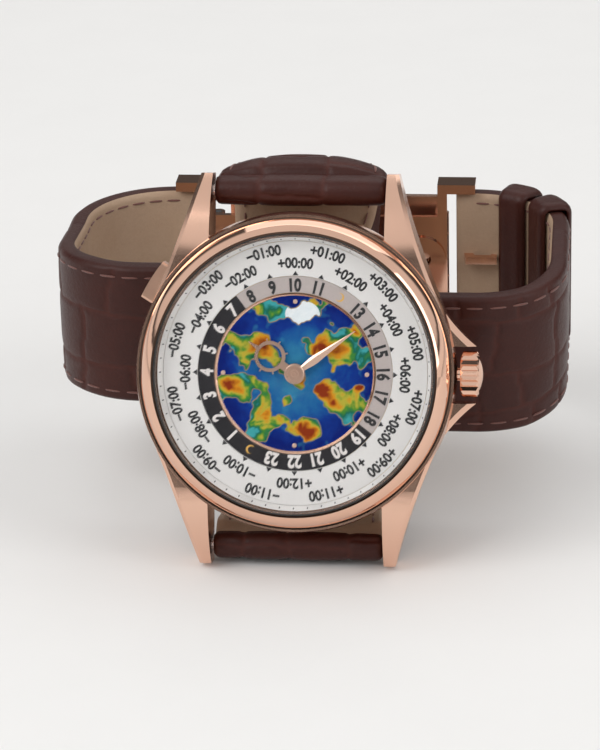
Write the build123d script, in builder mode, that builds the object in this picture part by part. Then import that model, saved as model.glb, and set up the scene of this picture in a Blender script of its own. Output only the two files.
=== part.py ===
"""World time wristwatch with a leather strap, standing on its lower lugs, in millimetres.

X runs to 3 o'clock, Y to the back and Z up. The floor is at Z = 0 and the origin lies under the
middle of the watch. The head leans back, and its strap stands behind it as a loop on its edge:
each half leaves its lugs, turns down or up behind the head, folds over on a diagonal and runs
round its own side to the folding clasp at the back.
"""
import os
from math import cos, pi, radians, sin, sqrt

from build123d import *

# Stance of the head
head_lean = 18
loop_gap = 12.4
tip_flat = 0.14

# Case middle, measured from the middle plane of the head
case_radius = 20.0
case_top = 2.4
case_bottom = -3.92
case_wall = 2.85
shoulder_step = 0.25
skirt_step = 1.1
lug_gap = 21.8
lug_length = 4.6
lug_tip_width = 1.5
lug_root_inset = 1.15
lug_root_y = 6.6
lug_waist_x = 14.7
lug_waist_y = 16.8
lug_crest = 2.1
lug_crest_y = 14.5
lug_nose = -2.4
lug_heel = -5.6
lug_heel_run = 2.6
lug_bevel = 0.45
guard_proud = 2.4
guard_opening = 7.1
guard_root_inset = 4.95
guard_root_y = 16.0
guard_sag = 1.35
guard_top = 1.3
guard_bottom = -2.7
guard_bevel = 0.7
overrun = 1.0

# Bezel, crystal and their seal
bezel_step = 0.55
bezel_width = 1.95
bezel_lip = 0.25
bezel_top = 4.6
bezel_edge = 0.35
bezel_ledge_width = 0.15
crystal_seat = 3.8
crystal_seal_width = 0.2
crystal_edge_top = 4.85
crystal_bevel = 0.3
crystal_dome = 0.2
seal_gap = 0.02
seal_height = 0.7

# Dial, from the bezel inwards
dial_top = 2.3
ring_thick = 0.3
base_thick = 0.3
run_gap = 0.05
rehaut_width = 0.55
rehaut_rim = 0.1
rehaut_top = 3.7
city_mouth = 12.15
hour_ring_radius = 12.1
hour_ring_mouth = 10.08
rim_radius = 10.03
rim_width = 0.33
rim_proud = 0.14
pip_circle_radius = 8.95
pip_radius = 0.28
pip_proud = 0.2
dial_hole = 0.85

# Hands
hand_thick = 0.2
minute_level = 2.98
minute_length = 9.25
minute_width = 1.05
minute_widest_reach = 3.3
minute_hub_radius = 1.22
minute_neck_width = 0.32
hour_level = 2.56
hour_length = 7.0
hour_eye_reach = 3.75
hour_eye_outer_radius = 1.93
hour_eye_inner_radius = 1.5
hour_hub_radius = 1.3
hour_neck_width = 0.5
hour_spur_length = 0.42
hour_spur_width = 0.36
hour_tip_width = 0.2
minute_reading = 9
hour_reading = 10
cap_radius = 0.6
cap_height = 0.22

# Motion work under the dial
cannon_radius = 0.45
cannon_reach = 3.26
motion_level = 1.24
motion_thick = 0.14
motion_module = 0.12
motion_gap = 0.04
cannon_teeth = 10
minute_teeth = 30
minute_pinion_teeth = 8
hour_teeth = 32
hour_pipe = 0.75
minute_wheel_bearing = 200
post_radius = 0.12
fit_gap = 0.02

# Movement
plate_radius = 13.4
plate_bottom = 0.1
plate_top = 1.2
plate_wall = 0.5
pillar_foot = -1.8
bridge_thick = 0.7
barrel_module = 0.15
barrel_teeth = 78
center_pinion_teeth = 12
center_module = 0.09
center_teeth = 80
third_pinion_teeth = 10
third_module = 0.08
third_teeth = 75
fourth_pinion_teeth = 10
fourth_module = 0.08
fourth_teeth = 70
escape_pinion_teeth = 7
escape_radius = 2.0
escape_teeth = 20
barrel_bearing = 219.6
third_bearing = 50
fourth_bearing = 150
escape_bearing = 150
wheel_thick = 0.14
wheel_windows = 5
window_place_share = 0.56
window_size_share = 0.24
barrel_thick = 1.0
barrel_level = -1.1
center_level = -1.5
third_level = -0.5
fourth_level = -1.0
escape_level = -0.6
pinion_overlap = 0.1
arbor_radius = 0.16
pallet_reach = 2.35
pallet_bearing = 187
pallet_length = 2.3
pallet_bar = 1.9
pallet_width = 0.24
balance_x = -7.3
balance_y = 3.3
balance_radius = 4.1
balance_rim = 0.5
balance_level = -1.45
balance_thick = 0.2
spring_inner = 0.55
spring_outer = 2.3
spring_turns = 9
spring_band = 0.05
spring_height = 0.14
spring_level = -1.7
rotor_x = 6.2
rotor_y = -5.6
rotor_radius = 4.4
rotor_weight_radius = 2.6
rotor_bottom = -3.3
rotor_top = -1.25
rotor_web = 0.5
rotor_hub = 1.1
jewel_radius = 0.62
jewel_proud = 0.06
screw_radius = 0.6
screw_head = 0.25
screw_slot = 0.16
casing_ring_outer = 17.1
casing_ring_top = 1.62

# Case back
back_rim = 18.8
back_edge = 18.3
back_face = -5.1
back_opening = 14.0
back_crystal_radius = 14.8
back_crystal_seat = -4.6
back_crystal_gap = 0.16

# Crown and pusher
stem_level = -0.6
stem_radius = 0.45
stem_start = 9.0
tube_radius = 0.85
tube_proud = 1.3
crown_radius = 2.85
crown_gap = 0.45
crown_length = 2.3
crown_dome = 0.55
crown_flutes = 22
flute_depth = 0.28
crown_cavity = 1.5
crown_cavity_depth = 1.35
crown_bevel = 0.35
pusher_bearing = 302
pusher_length = 5.2
pusher_height = 2.5
pusher_sink = 0.2
pusher_proud = 1.6
pusher_crown = 0.35
pusher_travel = 0.6
pusher_stem = 0.6
pusher_stem_start = 17.8
pusher_level = -0.9
pocket_gap = 0.1
pusher_sleeve = 0.25

# Strap
bar_inset = 2.25
bar_level = -4.1
bar_radius = 0.75
bar_tip_radius = 0.4
bar_tip_length = 0.9
strap_width = 21.4
fold_width = 18.6
clasp_width = 18.0
strap_thick = 2.6
lining_thick = 0.7
roll_radius = 1.9
arch_rise = 28
arch_bend = 4.0
fold_radius = 3.4
fold_steps = 12
foot_slope = 7
foot_bend = 8.0
foot_rise = 4.0
loop_half = 32.0
loop_depth = 32.7
front_bend = 10.5
back_straight = 20.0
left_drop = 0.1
right_drop = 3.7
clasp_drop = 1.2
level_run = 2.0
clasp_level_run = 14.5
hole_pitch = 2.9
hole_radius = 0.8
hole_count = 3

# Folding clasp
clasp_bar_x = 19.0
clasp_bar_overhang = 2.5
clasp_bar_radius = 0.7
clasp_arm = 1.3
clasp_arm_gap = 0.3
clasp_plate_half = 6.0
clasp_plate_thick = 0.8
clasp_plate_level = -2.3
clasp_arm_top = 1.0
clasp_pin_radius = 0.45
knuckle_radius = 0.95
knuckle_half = 3.0
knuckle_gap = 0.15
blade_pin_inset = 1.7
blade_pin_level = -0.75
blade_thick = 0.7
blade_level = -1.1
cover_pin_inset = 0.8
cover_pin_level = -0.2
cover_start_inset = 3.3
cover_level = 0.35
cover_thick = 0.95
cover_half_height = 8.0
strap_end_gap = 1.3
disc_radius = 3.2
disc_hole = 1.2
disc_thick = 0.5
disc_inset = 3.4
tongue_radius = 0.5
tongue_reach = 3.8
tongue_level = -2.5
tongue_peg = 0.4
tongue_tip = 0.3
tongue_ring = 1.2
tongue_notch = 1.0
keeper_width = 5.0
keeper_thick = 1.0
keeper_gap = 0.25
fixed_keeper_place = 6.6
sliding_keeper_place = 12.6

# Frames worked out from the values above
lean = radians(head_lean)
shoulder_radius = case_radius - shoulder_step
skirt_radius = case_radius - skirt_step
case_bore = case_radius - case_wall
bezel_radius = case_radius - bezel_step
bezel_mouth = bezel_radius - bezel_width
bezel_ledge = case_bore - bezel_ledge_width
crystal_radius = bezel_mouth - crystal_seal_width
base_radius = case_bore - pocket_gap
rehaut_foot = base_radius - rehaut_width
rehaut_mouth = base_radius - rehaut_rim
city_radius = rehaut_foot - run_gap
lug_reach = case_radius + lug_length
lug_root_x = case_radius - lug_root_inset
guard_reach = case_radius + guard_proud
guard_root_x = case_radius - guard_root_inset
crown_start = case_radius + crown_gap
tube_end = case_radius + tube_proud
pusher_start = case_radius - pusher_sink
pusher_end = case_radius + pusher_proud
bar_reach = lug_reach - bar_inset
back_bend = loop_half - back_straight
clasp_half = clasp_bar_x - clasp_bar_overhang
blade_pin_x = blade_pin_inset - clasp_half
cover_pin_x = clasp_half - cover_pin_inset
cover_start_x = cover_start_inset - clasp_half
disc_x = clasp_half - disc_inset
lug_tip_drop = lug_reach * cos(lean) - lug_heel * sin(lean)
head_z = lug_tip_drop - tip_flat
front_reach = (crystal_radius - crystal_bevel) * sin(lean) + crystal_edge_top * cos(lean)
back_reach = loop_gap + loop_depth + strap_thick / 2
head_y = (front_reach - back_reach) / 2
head = Plane(origin=(0, head_y, head_z), x_dir=(1, 0, 0), z_dir=(0, -cos(lean), sin(lean)))
head_section = Plane(origin=head.origin, x_dir=head.x_dir, z_dir=-head.y_dir)
head_side = Plane(origin=head.origin, x_dir=head.y_dir, z_dir=head.x_dir)
head_axis = Axis(head.origin, head.z_dir)
upper, lower = 1, -1
step_angle = pi / fold_steps


def world(x, y, level):
    """Point given along 3 o'clock, along 12 o'clock and out of the dial."""
    return head.from_local_coords(Vector(x, y, level))


def polar(radius, bearing):
    """Point of the dial at a clock bearing in degrees from 12."""
    return (radius * sin(radians(bearing)), radius * cos(radians(bearing)))


def turned(points):
    """Ring about the axis of the head from a section of radius and level."""
    with BuildPart() as piece:
        with BuildSketch(head_section):
            with BuildLine():
                Polyline(*points, close=True)
            make_face()
        revolve(axis=head_axis)
    return piece


def disc(centre, radius, low, high, bore=0):
    """Round plate parallel to the dial, with an optional bore."""
    with BuildPart() as piece:
        with BuildSketch(head.offset(low)):
            with Locations(centre):
                Circle(radius)
                if bore:
                    Circle(bore, mode=Mode.SUBTRACT)
        extrude(amount=high - low)
    return piece


def tooth_points(centre, pitch_radius, teeth, depth):
    """Outline of a toothed wheel about a centre, its tips just inside the pitch circle."""
    tip = pitch_radius - run_gap / 2
    points = []
    for index in range(2 * teeth):
        radius = tip - depth * (index % 2)
        angle = pi * index / teeth
        points.append((centre[0] + radius * cos(angle), centre[1] + radius * sin(angle)))
    return points


def toothed(centre, module, teeth, low):
    """Plan of a toothed wheel at a level."""
    with BuildSketch(head.offset(low)) as plan:
        with BuildLine():
            Polyline(*tooth_points(centre, module * teeth / 2, teeth, 2 * module), close=True)
        make_face()
    return plan.sketch


def wheel(centre, module, teeth, low, pinion_module, pinion_teeth, pinion_low, pinion_high):
    """Spoked wheel with its pinion and arbor, standing between plate and bridge."""
    radius = module * teeth / 2
    with BuildPart() as piece:
        extrude(toothed(centre, module, teeth, low), amount=wheel_thick)
        with BuildSketch(head.offset(low)):
            with Locations(centre):
                with PolarLocations(radius * window_place_share, wheel_windows):
                    Circle(radius * window_size_share)
        extrude(amount=wheel_thick, mode=Mode.SUBTRACT)
        extrude(toothed(centre, pinion_module, pinion_teeth, pinion_low), amount=pinion_high - pinion_low)
        with BuildSketch(head.offset(pillar_foot + run_gap)):
            with Locations(centre):
                Circle(arbor_radius)
        extrude(amount=plate_bottom - pillar_foot - 2 * run_gap)
    return piece


def run_spans(start, heading, runs, side):
    """Start, middle and end of each run of a path moved to its left, where a run is a length and
    0 or a bend radius and its turn in degrees."""
    place = Vector(*start)
    angle = radians(heading)
    spans = []
    for reach, turn in runs:
        left = Vector(-sin(angle), cos(angle))
        if turn == 0:
            ahead = Vector(cos(angle), sin(angle)) * reach
            spans.append((place + left * side, None, place + ahead + left * side))
            place = place + ahead
            continue
        hand = 1 if turn > 0 else -1
        centre = place + left * (reach * hand)
        radius = reach - side * hand
        corners = []
        for share in (0, 0.5, 1):
            out = angle + radians(turn) * share - hand * pi / 2
            corners.append(centre + Vector(cos(out), sin(out)) * radius)
        spans.append(tuple(corners))
        place = centre + (corners[2] - centre) * (reach / radius)
        angle = angle + radians(turn)
    return spans


def draw_band(start, heading, runs, near, far):
    """Closed outline of a band along a path, between two distances to its left."""
    near_spans = run_spans(start, heading, runs, near)
    far_spans = run_spans(start, heading, runs, far)
    for first, middle, last in near_spans + far_spans:
        if middle is None:
            Line(first, last)
        else:
            ThreePointArc(first, middle, last)
    Line(near_spans[0][0], far_spans[0][0])
    Line(near_spans[-1][2], far_spans[-1][2])


# Case middle: a turned band with four lugs, crown guards, bar holes, stem hole and pusher pocket
lug_inner = lug_gap / 2
lug_height = lug_crest - lug_heel
guard_half = guard_opening / 2
guard_root = Vector(guard_root_x, guard_root_y)
guard_tip = Vector(guard_reach, guard_half)
guard_chord = (guard_tip - guard_root).normalized()
guard_middle = (guard_root + guard_tip) / 2 + Vector(guard_chord.Y, -guard_chord.X) * guard_sag
with BuildPart() as guards:
    with BuildSketch(head.offset(guard_bottom)):
        with BuildLine():
            ThreePointArc(guard_root, guard_middle, guard_tip)
            Polyline(guard_tip, (guard_root_x, guard_half), guard_root)
        make_face()
        mirror(about=Plane.XZ)
    extrude(amount=guard_top - guard_bottom)
    chamfer(guards.edges().filter_by(GeomType.CIRCLE), length=guard_bevel)
with BuildPart() as case_middle:
    with BuildSketch(head.offset(lug_heel - overrun)):
        with BuildLine():
            Line((lug_inner, lug_root_y), (lug_inner, lug_reach))
            Line((lug_inner, lug_reach), (lug_inner + lug_tip_width, lug_reach))
            ThreePointArc((lug_inner + lug_tip_width, lug_reach), (lug_waist_x, lug_waist_y),
                          (lug_root_x, lug_root_y))
            Line((lug_root_x, lug_root_y), (lug_inner, lug_root_y))
        make_face()
        mirror(about=Plane.YZ)
        mirror(about=Plane.XZ)
    extrude(amount=lug_height + 2 * overrun)
    with BuildSketch(head_side):
        with BuildLine():
            Line((lug_root_y, case_bottom), (lug_root_y, lug_crest))
            Line((lug_root_y, lug_crest), (lug_crest_y, lug_crest))
            TangentArc((lug_crest_y, lug_crest), (lug_reach, lug_nose), tangent=(1, 0))
            Line((lug_reach, lug_nose), (lug_reach, lug_heel))
            Line((lug_reach, lug_heel), (lug_reach - lug_heel_run, lug_heel))
            TangentArc((lug_reach - lug_heel_run, lug_heel), (lug_root_y, case_bottom), tangent=(-1, 0))
        make_face()
        mirror(about=Plane.YZ)
    extrude(amount=case_radius, both=True, mode=Mode.INTERSECT)
    chamfer(case_middle.edges().filter_by(lambda edge: edge.geom_type != GeomType.LINE
            and abs(edge.center().X) > lug_inner + lug_tip_width / 2
            and head.to_local_coords(edge.center()).Z > case_bottom / 2), length=lug_bevel)
    add(guards.part)
    with BuildSketch(head_section):
        with BuildLine():
            Polyline((shoulder_radius, case_top), (case_bore, case_top), (case_bore, case_bottom),
                     (skirt_radius, case_bottom))
            ThreePointArc((skirt_radius, case_bottom), (case_radius, (case_top + case_bottom) / 2),
                          (shoulder_radius, case_top))
        make_face()
    revolve(axis=head_axis)
    with BuildSketch(head.offset(lug_heel - overrun)):
        Circle(case_bore)
    extrude(amount=lug_height + 2 * overrun, mode=Mode.SUBTRACT)
    with BuildSketch(head.offset(lug_heel - overrun)):
        Circle(back_rim + pocket_gap)
    extrude(amount=case_bottom - lug_heel + overrun, mode=Mode.SUBTRACT)
    with BuildSketch(head.offset(case_top)):
        Circle(bezel_radius + pocket_gap)
    extrude(amount=overrun, mode=Mode.SUBTRACT)
    for side in (upper, lower):
        with BuildSketch(Plane(origin=world(0, side * bar_reach, bar_level), z_dir=head.x_dir)):
            Circle(bar_tip_radius + fit_gap)
        extrude(amount=lug_inner + bar_tip_length + pocket_gap, both=True, mode=Mode.SUBTRACT)
    with BuildSketch(Plane(origin=world(0, 0, stem_level), z_dir=head.x_dir)):
        Circle(tube_radius + fit_gap)
    extrude(amount=case_radius + overrun, mode=Mode.SUBTRACT)
    pusher_out = Vector(*polar(1, pusher_bearing), 0)
    pusher_plane = Plane(origin=world(0, 0, pusher_level), z_dir=head.from_local_coords(pusher_out)
                         - Vector(head.origin), x_dir=head.z_dir)
    with BuildSketch(pusher_plane.offset(pusher_start - pusher_travel - pocket_gap)):
        Rectangle(pusher_height + 2 * pocket_gap, pusher_length + 2 * pocket_gap)
    extrude(amount=case_radius, mode=Mode.SUBTRACT)
    with BuildSketch(pusher_plane.offset(case_bore - overrun)):
        Circle(pusher_stem + pusher_sleeve + fit_gap)
    extrude(amount=case_radius, mode=Mode.SUBTRACT)
    split(bisect_by=Plane.XY, keep=Keep.TOP)

# Bezel with a lip at its mouth and a ledge under the crystal
with BuildPart() as bezel:
    with BuildSketch(head_section):
        with BuildLine():
            Polyline((bezel_mouth + bezel_lip, bezel_top), (bezel_mouth, bezel_top),
                     (bezel_mouth, crystal_seat), (bezel_ledge, crystal_seat),
                     (bezel_ledge, rehaut_top + run_gap), (case_bore, rehaut_top + run_gap),
                     (case_bore, case_top), (bezel_radius, case_top),
                     (bezel_radius, case_top + bezel_edge),
                     (bezel_radius - bezel_lip, case_top + bezel_edge))
            ThreePointArc((bezel_radius - bezel_lip, case_top + bezel_edge),
                          ((bezel_radius + bezel_mouth) / 2 + bezel_lip / 2,
                           (case_top + bezel_top) / 2 + bezel_edge),
                          (bezel_mouth + bezel_lip, bezel_top))
        make_face()
    revolve(axis=head_axis)

# Sapphire crystal, slightly domed, and its seal
with BuildPart() as crystal:
    with BuildSketch(head_section):
        with BuildLine():
            Polyline((0, crystal_edge_top + crystal_dome), (0, crystal_seat + seal_gap),
                     (crystal_radius, crystal_seat + seal_gap),
                     (crystal_radius, crystal_edge_top - crystal_bevel),
                     (crystal_radius - crystal_bevel, crystal_edge_top))
            TangentArc((0, crystal_edge_top + crystal_dome),
                       (crystal_radius - crystal_bevel, crystal_edge_top), tangent=(1, 0))
        make_face()
    revolve(axis=head_axis)
crystal_gasket = turned([
    (crystal_radius + seal_gap, crystal_seat + seal_gap),
    (bezel_mouth - seal_gap, crystal_seat + seal_gap),
    (bezel_mouth - seal_gap, crystal_seat + seal_height),
    (crystal_radius + seal_gap, crystal_seat + seal_height)])

# Dial: sloping minute track, base plate, two turning rings, map and its rim
ring_bottom = dial_top - ring_thick
base_top = ring_bottom - run_gap
rehaut_ring = turned([(rehaut_foot, base_top), (base_radius, base_top), (base_radius, rehaut_top),
                      (rehaut_mouth, rehaut_top), (rehaut_foot, dial_top + run_gap)])
dial_base = disc((0, 0), base_radius, base_top - base_thick, base_top, hour_pipe + pocket_gap)
city_ring = disc((0, 0), city_radius, ring_bottom, dial_top, city_mouth)
hour_ring = disc((0, 0), hour_ring_radius, ring_bottom, dial_top, hour_ring_mouth)
map_dial = disc((0, 0), rim_radius - rim_width, base_top, dial_top, dial_hole)
map_rim = turned([(rim_radius - rim_width, base_top), (rim_radius, base_top), (rim_radius, dial_top),
                  (rim_radius - rim_width / 2, dial_top + rim_proud),
                  (rim_radius - rim_width, dial_top)])
with BuildPart() as dial_pips:
    with BuildSketch(head.offset(dial_top)):
        with PolarLocations(pip_circle_radius, 4):
            Circle(pip_radius)
    extrude(amount=pip_proud)
    fillet(dial_pips.faces().filter_by(Plane(origin=head.origin, z_dir=head.z_dir))
           .sort_by(head_axis)[-4:].edges(), radius=pip_proud / 2)

# Motion work: cannon pinion, minute wheel and hour wheel
motion_high = motion_level + motion_thick
hour_low = motion_high + motion_gap
motion_distance = motion_module * (cannon_teeth + minute_teeth) / 2
minute_wheel_centre = polar(motion_distance, minute_wheel_bearing)

with BuildPart() as cannon_pinion:
    extrude(toothed((0, 0), motion_module, cannon_teeth, motion_level), amount=motion_thick)
    with BuildSketch(head.offset(motion_level)):
        Circle(cannon_radius)
    extrude(amount=cannon_reach - motion_level)
    with BuildSketch(head.offset(plate_bottom - run_gap)):
        Circle(arbor_radius)
    extrude(amount=motion_level - plate_bottom + run_gap)
with BuildPart() as hour_wheel:
    extrude(toothed((0, 0), motion_module, hour_teeth, hour_low), amount=motion_thick)
    with BuildSketch(head.offset(hour_low)):
        Circle(hour_pipe)
    extrude(amount=hour_level + hand_thick - hour_low)
    with BuildSketch(head.offset(hour_low)):
        Circle(cannon_radius + run_gap)
    extrude(amount=hour_level + hand_thick - hour_low, mode=Mode.SUBTRACT)
with BuildPart() as minute_wheel:
    extrude(toothed(minute_wheel_centre, motion_module, minute_teeth, motion_level), amount=motion_thick)
    extrude(toothed(minute_wheel_centre, motion_module, minute_pinion_teeth, motion_high),
            amount=motion_thick + motion_gap)
    with BuildSketch(head.offset(motion_level)):
        with Locations(minute_wheel_centre):
            Circle(post_radius + fit_gap)
    extrude(amount=2 * motion_thick + motion_gap, mode=Mode.SUBTRACT)

# Hands, each drawn pointing to 12 and turned to its reading
minute_turn = 6 * minute_reading
hour_turn = 30 * hour_reading + minute_turn / 12


def hand_plane(turn, level):
    """Plane of a hand, with its Y along the hand."""
    return Plane(origin=world(0, 0, level), x_dir=head.x_dir.rotate(Axis((0, 0, 0), head.z_dir), -turn),
                 z_dir=head.z_dir)


with BuildPart() as minute_hand:
    with BuildSketch(hand_plane(minute_turn, minute_level)):
        with BuildLine():
            Polyline((minute_neck_width, 0), (minute_neck_width, minute_hub_radius),
                     (minute_width / 2, minute_widest_reach), (0, minute_length),
                     (-minute_width / 2, minute_widest_reach),
                     (-minute_neck_width, minute_hub_radius), (-minute_neck_width, 0), close=True)
        make_face()
        Circle(minute_hub_radius)
        Circle(cannon_radius + fit_gap, mode=Mode.SUBTRACT)
    extrude(amount=hand_thick)
with BuildPart() as hour_hand:
    with BuildSketch(hand_plane(hour_turn, hour_level)):
        Circle(hour_hub_radius)
        with BuildLine():
            Polyline((hour_neck_width, 0), (hour_neck_width, hour_eye_reach),
                     (-hour_neck_width, hour_eye_reach), (-hour_neck_width, 0),
                     close=True)
        make_face()
        with BuildLine():
            Polyline((hour_neck_width, hour_eye_reach), (hour_tip_width / 2, hour_length - hour_tip_width),
                     (0, hour_length), (-hour_tip_width / 2, hour_length - hour_tip_width),
                     (-hour_neck_width, hour_eye_reach), close=True)
        make_face()
        with Locations((0, hour_eye_reach)):
            with PolarLocations(hour_eye_outer_radius + hour_spur_length / 4, 8):
                Rectangle(hour_spur_length, hour_spur_width / 2)
            Circle(hour_eye_outer_radius)
            Circle(hour_eye_inner_radius, mode=Mode.SUBTRACT)
        Circle(hour_pipe + fit_gap, mode=Mode.SUBTRACT)
    extrude(amount=hand_thick)
with BuildPart() as hand_cap:
    with BuildSketch(head_section):
        with BuildLine():
            Line((0, cannon_reach), (cap_radius, cannon_reach))
            TangentArc((0, cannon_reach + cap_height), (cap_radius, cannon_reach), tangent=(1, 0))
            Line((0, cannon_reach + cap_height), (0, cannon_reach))
        make_face()
    revolve(axis=head_axis)

# Movement: plate, bridges, going train, balance and rotor
bridge_low = pillar_foot - bridge_thick


def along(centre, distance, bearing_degrees):
    """Point at a distance and an angle from +X, from another point."""
    angle = radians(bearing_degrees)
    return (centre[0] + distance * cos(angle), centre[1] + distance * sin(angle))


barrel_centre = along((0, 0), barrel_module * (barrel_teeth + center_pinion_teeth) / 2, barrel_bearing)
third_centre = along((0, 0), center_module * (center_teeth + third_pinion_teeth) / 2, third_bearing)
fourth_centre = along(third_centre, third_module * (third_teeth + fourth_pinion_teeth) / 2, fourth_bearing)
escape_centre = along(fourth_centre, fourth_module * (fourth_teeth + escape_pinion_teeth) / 2, escape_bearing)
pallet_centre = along(escape_centre, pallet_reach, pallet_bearing)
balance_centre = (balance_x, balance_y)
rotor_centre = (rotor_x, rotor_y)
bridge_plane = head.offset(bridge_low)
wheel_clear = 3 * pocket_gap
train_bridge_shares = ((-0.1, -0.09), (1, -0.09), (1, 1), (-0.56, 1), (-0.36, 0.57), (-0.18, 0.3),
                       (-0.1, 0.04))
barrel_bridge_shares = ((-1, -0.16), (-0.13, -0.12), (0.16, -0.12), (0.16, -1), (-1, -1))
cock_shares = ((-1, 0.42), (-1, 0.08), (-0.6, 0.16), (-0.48, 0.25), (-0.6, 0.34))
screw_shares = ((0.72, 0.45), (0.2, 0.8), (-0.28, 0.76), (-0.78, -0.44), (-0.16, -0.86), (-0.88, 0.25))
jewel_centres = ((0, 0), third_centre, fourth_centre, escape_centre, balance_centre)


def bridge_sketch(shares):
    """Plan of a bridge inside the plate's circle, clear of the rotor and with its jewel seats."""
    with BuildSketch(bridge_plane) as plan:
        with BuildLine():
            Polyline(*[(plate_radius * across, plate_radius * along_twelve)
                       for across, along_twelve in shares], close=True)
        make_face()
        Circle(plate_radius, mode=Mode.INTERSECT)
        with Locations(rotor_centre):
            Circle(rotor_radius + wheel_clear, mode=Mode.SUBTRACT)
        with Locations(*jewel_centres):
            Circle(jewel_radius, mode=Mode.SUBTRACT)
    return plan.sketch


with BuildPart() as main_plate:
    with BuildSketch(head.offset(plate_bottom)):
        Circle(plate_radius)
        Circle(cannon_radius + pocket_gap, mode=Mode.SUBTRACT)
    extrude(amount=plate_top - plate_bottom)
    with BuildSketch(head.offset(plate_top - fit_gap)):
        with Locations(minute_wheel_centre):
            Circle(post_radius)
    extrude(amount=hour_low + motion_thick + fit_gap - plate_top)
    with BuildSketch(head.offset(pillar_foot)):
        Circle(plate_radius)
        Circle(plate_radius - plate_wall, mode=Mode.SUBTRACT)
    extrude(amount=plate_bottom - pillar_foot)
    with BuildSketch(Plane(origin=world(stem_start, 0, stem_level), z_dir=head.x_dir)):
        Circle(stem_radius + run_gap)
    extrude(amount=plate_radius, mode=Mode.SUBTRACT)
with BuildPart() as train_bridge:
    extrude(bridge_sketch(train_bridge_shares), amount=bridge_thick)
with BuildPart() as barrel_bridge:
    extrude(bridge_sketch(barrel_bridge_shares), amount=bridge_thick)
with BuildPart() as balance_cock:
    extrude(bridge_sketch(cock_shares), amount=bridge_thick)
with BuildPart() as jewels:
    with BuildSketch(bridge_plane):
        with Locations(*jewel_centres):
            Circle(jewel_radius - seal_gap)
    extrude(amount=bridge_thick)
    fillet(jewels.faces().filter_by(Plane(origin=head.origin, z_dir=head.z_dir))
           .sort_by(head_axis)[:len(jewel_centres)].edges(), radius=jewel_proud)
with BuildPart() as bridge_screws:
    with BuildSketch(head.offset(bridge_low - screw_head)):
        with Locations(*[(plate_radius * across, plate_radius * up) for across, up in screw_shares]):
            Circle(screw_radius)
    extrude(amount=screw_head)
    with BuildSketch(head.offset(bridge_low - screw_head)):
        with Locations(*[(plate_radius * across, plate_radius * up) for across, up in screw_shares]):
            Rectangle(2 * screw_radius + pocket_gap, screw_slot)
    extrude(amount=screw_head / 2, mode=Mode.SUBTRACT)

barrel_top = barrel_level + barrel_thick
with BuildPart() as barrel:
    extrude(toothed(barrel_centre, barrel_module, barrel_teeth, barrel_level), amount=barrel_thick)
    with BuildSketch(head.offset(pillar_foot + run_gap)):
        with Locations(barrel_centre):
            Circle(2 * arbor_radius)
    extrude(amount=plate_bottom - pillar_foot - 2 * run_gap)
center_wheel = wheel((0, 0), center_module, center_teeth, center_level,
                     barrel_module, center_pinion_teeth, barrel_level, barrel_top)
third_wheel = wheel(third_centre, third_module, third_teeth, third_level, center_module,
                    third_pinion_teeth, center_level - pinion_overlap, center_level + 2 * pinion_overlap)
fourth_wheel = wheel(fourth_centre, fourth_module, fourth_teeth, fourth_level, third_module,
                     fourth_pinion_teeth, third_level - pinion_overlap, third_level + 2 * pinion_overlap)
escape_wheel = wheel(escape_centre, 2 * escape_radius / escape_teeth, escape_teeth, escape_level,
                     fourth_module, escape_pinion_teeth, fourth_level - pinion_overlap,
                     fourth_level + 2 * pinion_overlap)
pallet_turn = 180 + pallet_bearing
with BuildPart() as pallet_fork:
    to_balance = Vector(*balance_centre) - Vector(*pallet_centre)
    with BuildSketch(Plane(origin=world(*pallet_centre, escape_level),
                           x_dir=head.from_local_coords(to_balance) - Vector(head.origin), z_dir=head.z_dir)):
        with Locations((pallet_length / 2, 0)):
            Rectangle(pallet_length, pallet_width)
    extrude(amount=wheel_thick)
    with BuildSketch(head.offset(escape_level)):
        with Locations(Location(pallet_centre, pallet_turn)):
            Rectangle(pallet_width, pallet_bar)
    extrude(amount=wheel_thick)
    with BuildSketch(head.offset(pillar_foot + run_gap)):
        with Locations(pallet_centre):
            Circle(arbor_radius)
    extrude(amount=plate_bottom - pillar_foot - 2 * run_gap)
with BuildPart() as balance_wheel:
    with BuildSketch(head.offset(balance_level)):
        with Locations(balance_centre):
            Circle(balance_radius)
            Circle(balance_radius - balance_rim, mode=Mode.SUBTRACT)
            Rectangle(2 * balance_radius - balance_rim, balance_rim)
            Rectangle(balance_rim, 2 * balance_radius - balance_rim)
    extrude(amount=balance_thick)
    with BuildSketch(head.offset(pillar_foot + run_gap)):
        with Locations(balance_centre):
            Circle(arbor_radius)
    extrude(amount=plate_bottom - pillar_foot - 2 * run_gap)


def spiral_points(shift):
    """Points of the balance spring's spiral, moved outwards by a shift, two for each quarter turn."""
    count = 8 * spring_turns
    points = []
    for index in range(count + 1):
        radius = spring_inner + (spring_outer - spring_inner) * index / count + shift
        angle = 2 * pi * spring_turns * index / count
        points.append((balance_x + radius * cos(angle), balance_y + radius * sin(angle)))
    return points


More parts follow.
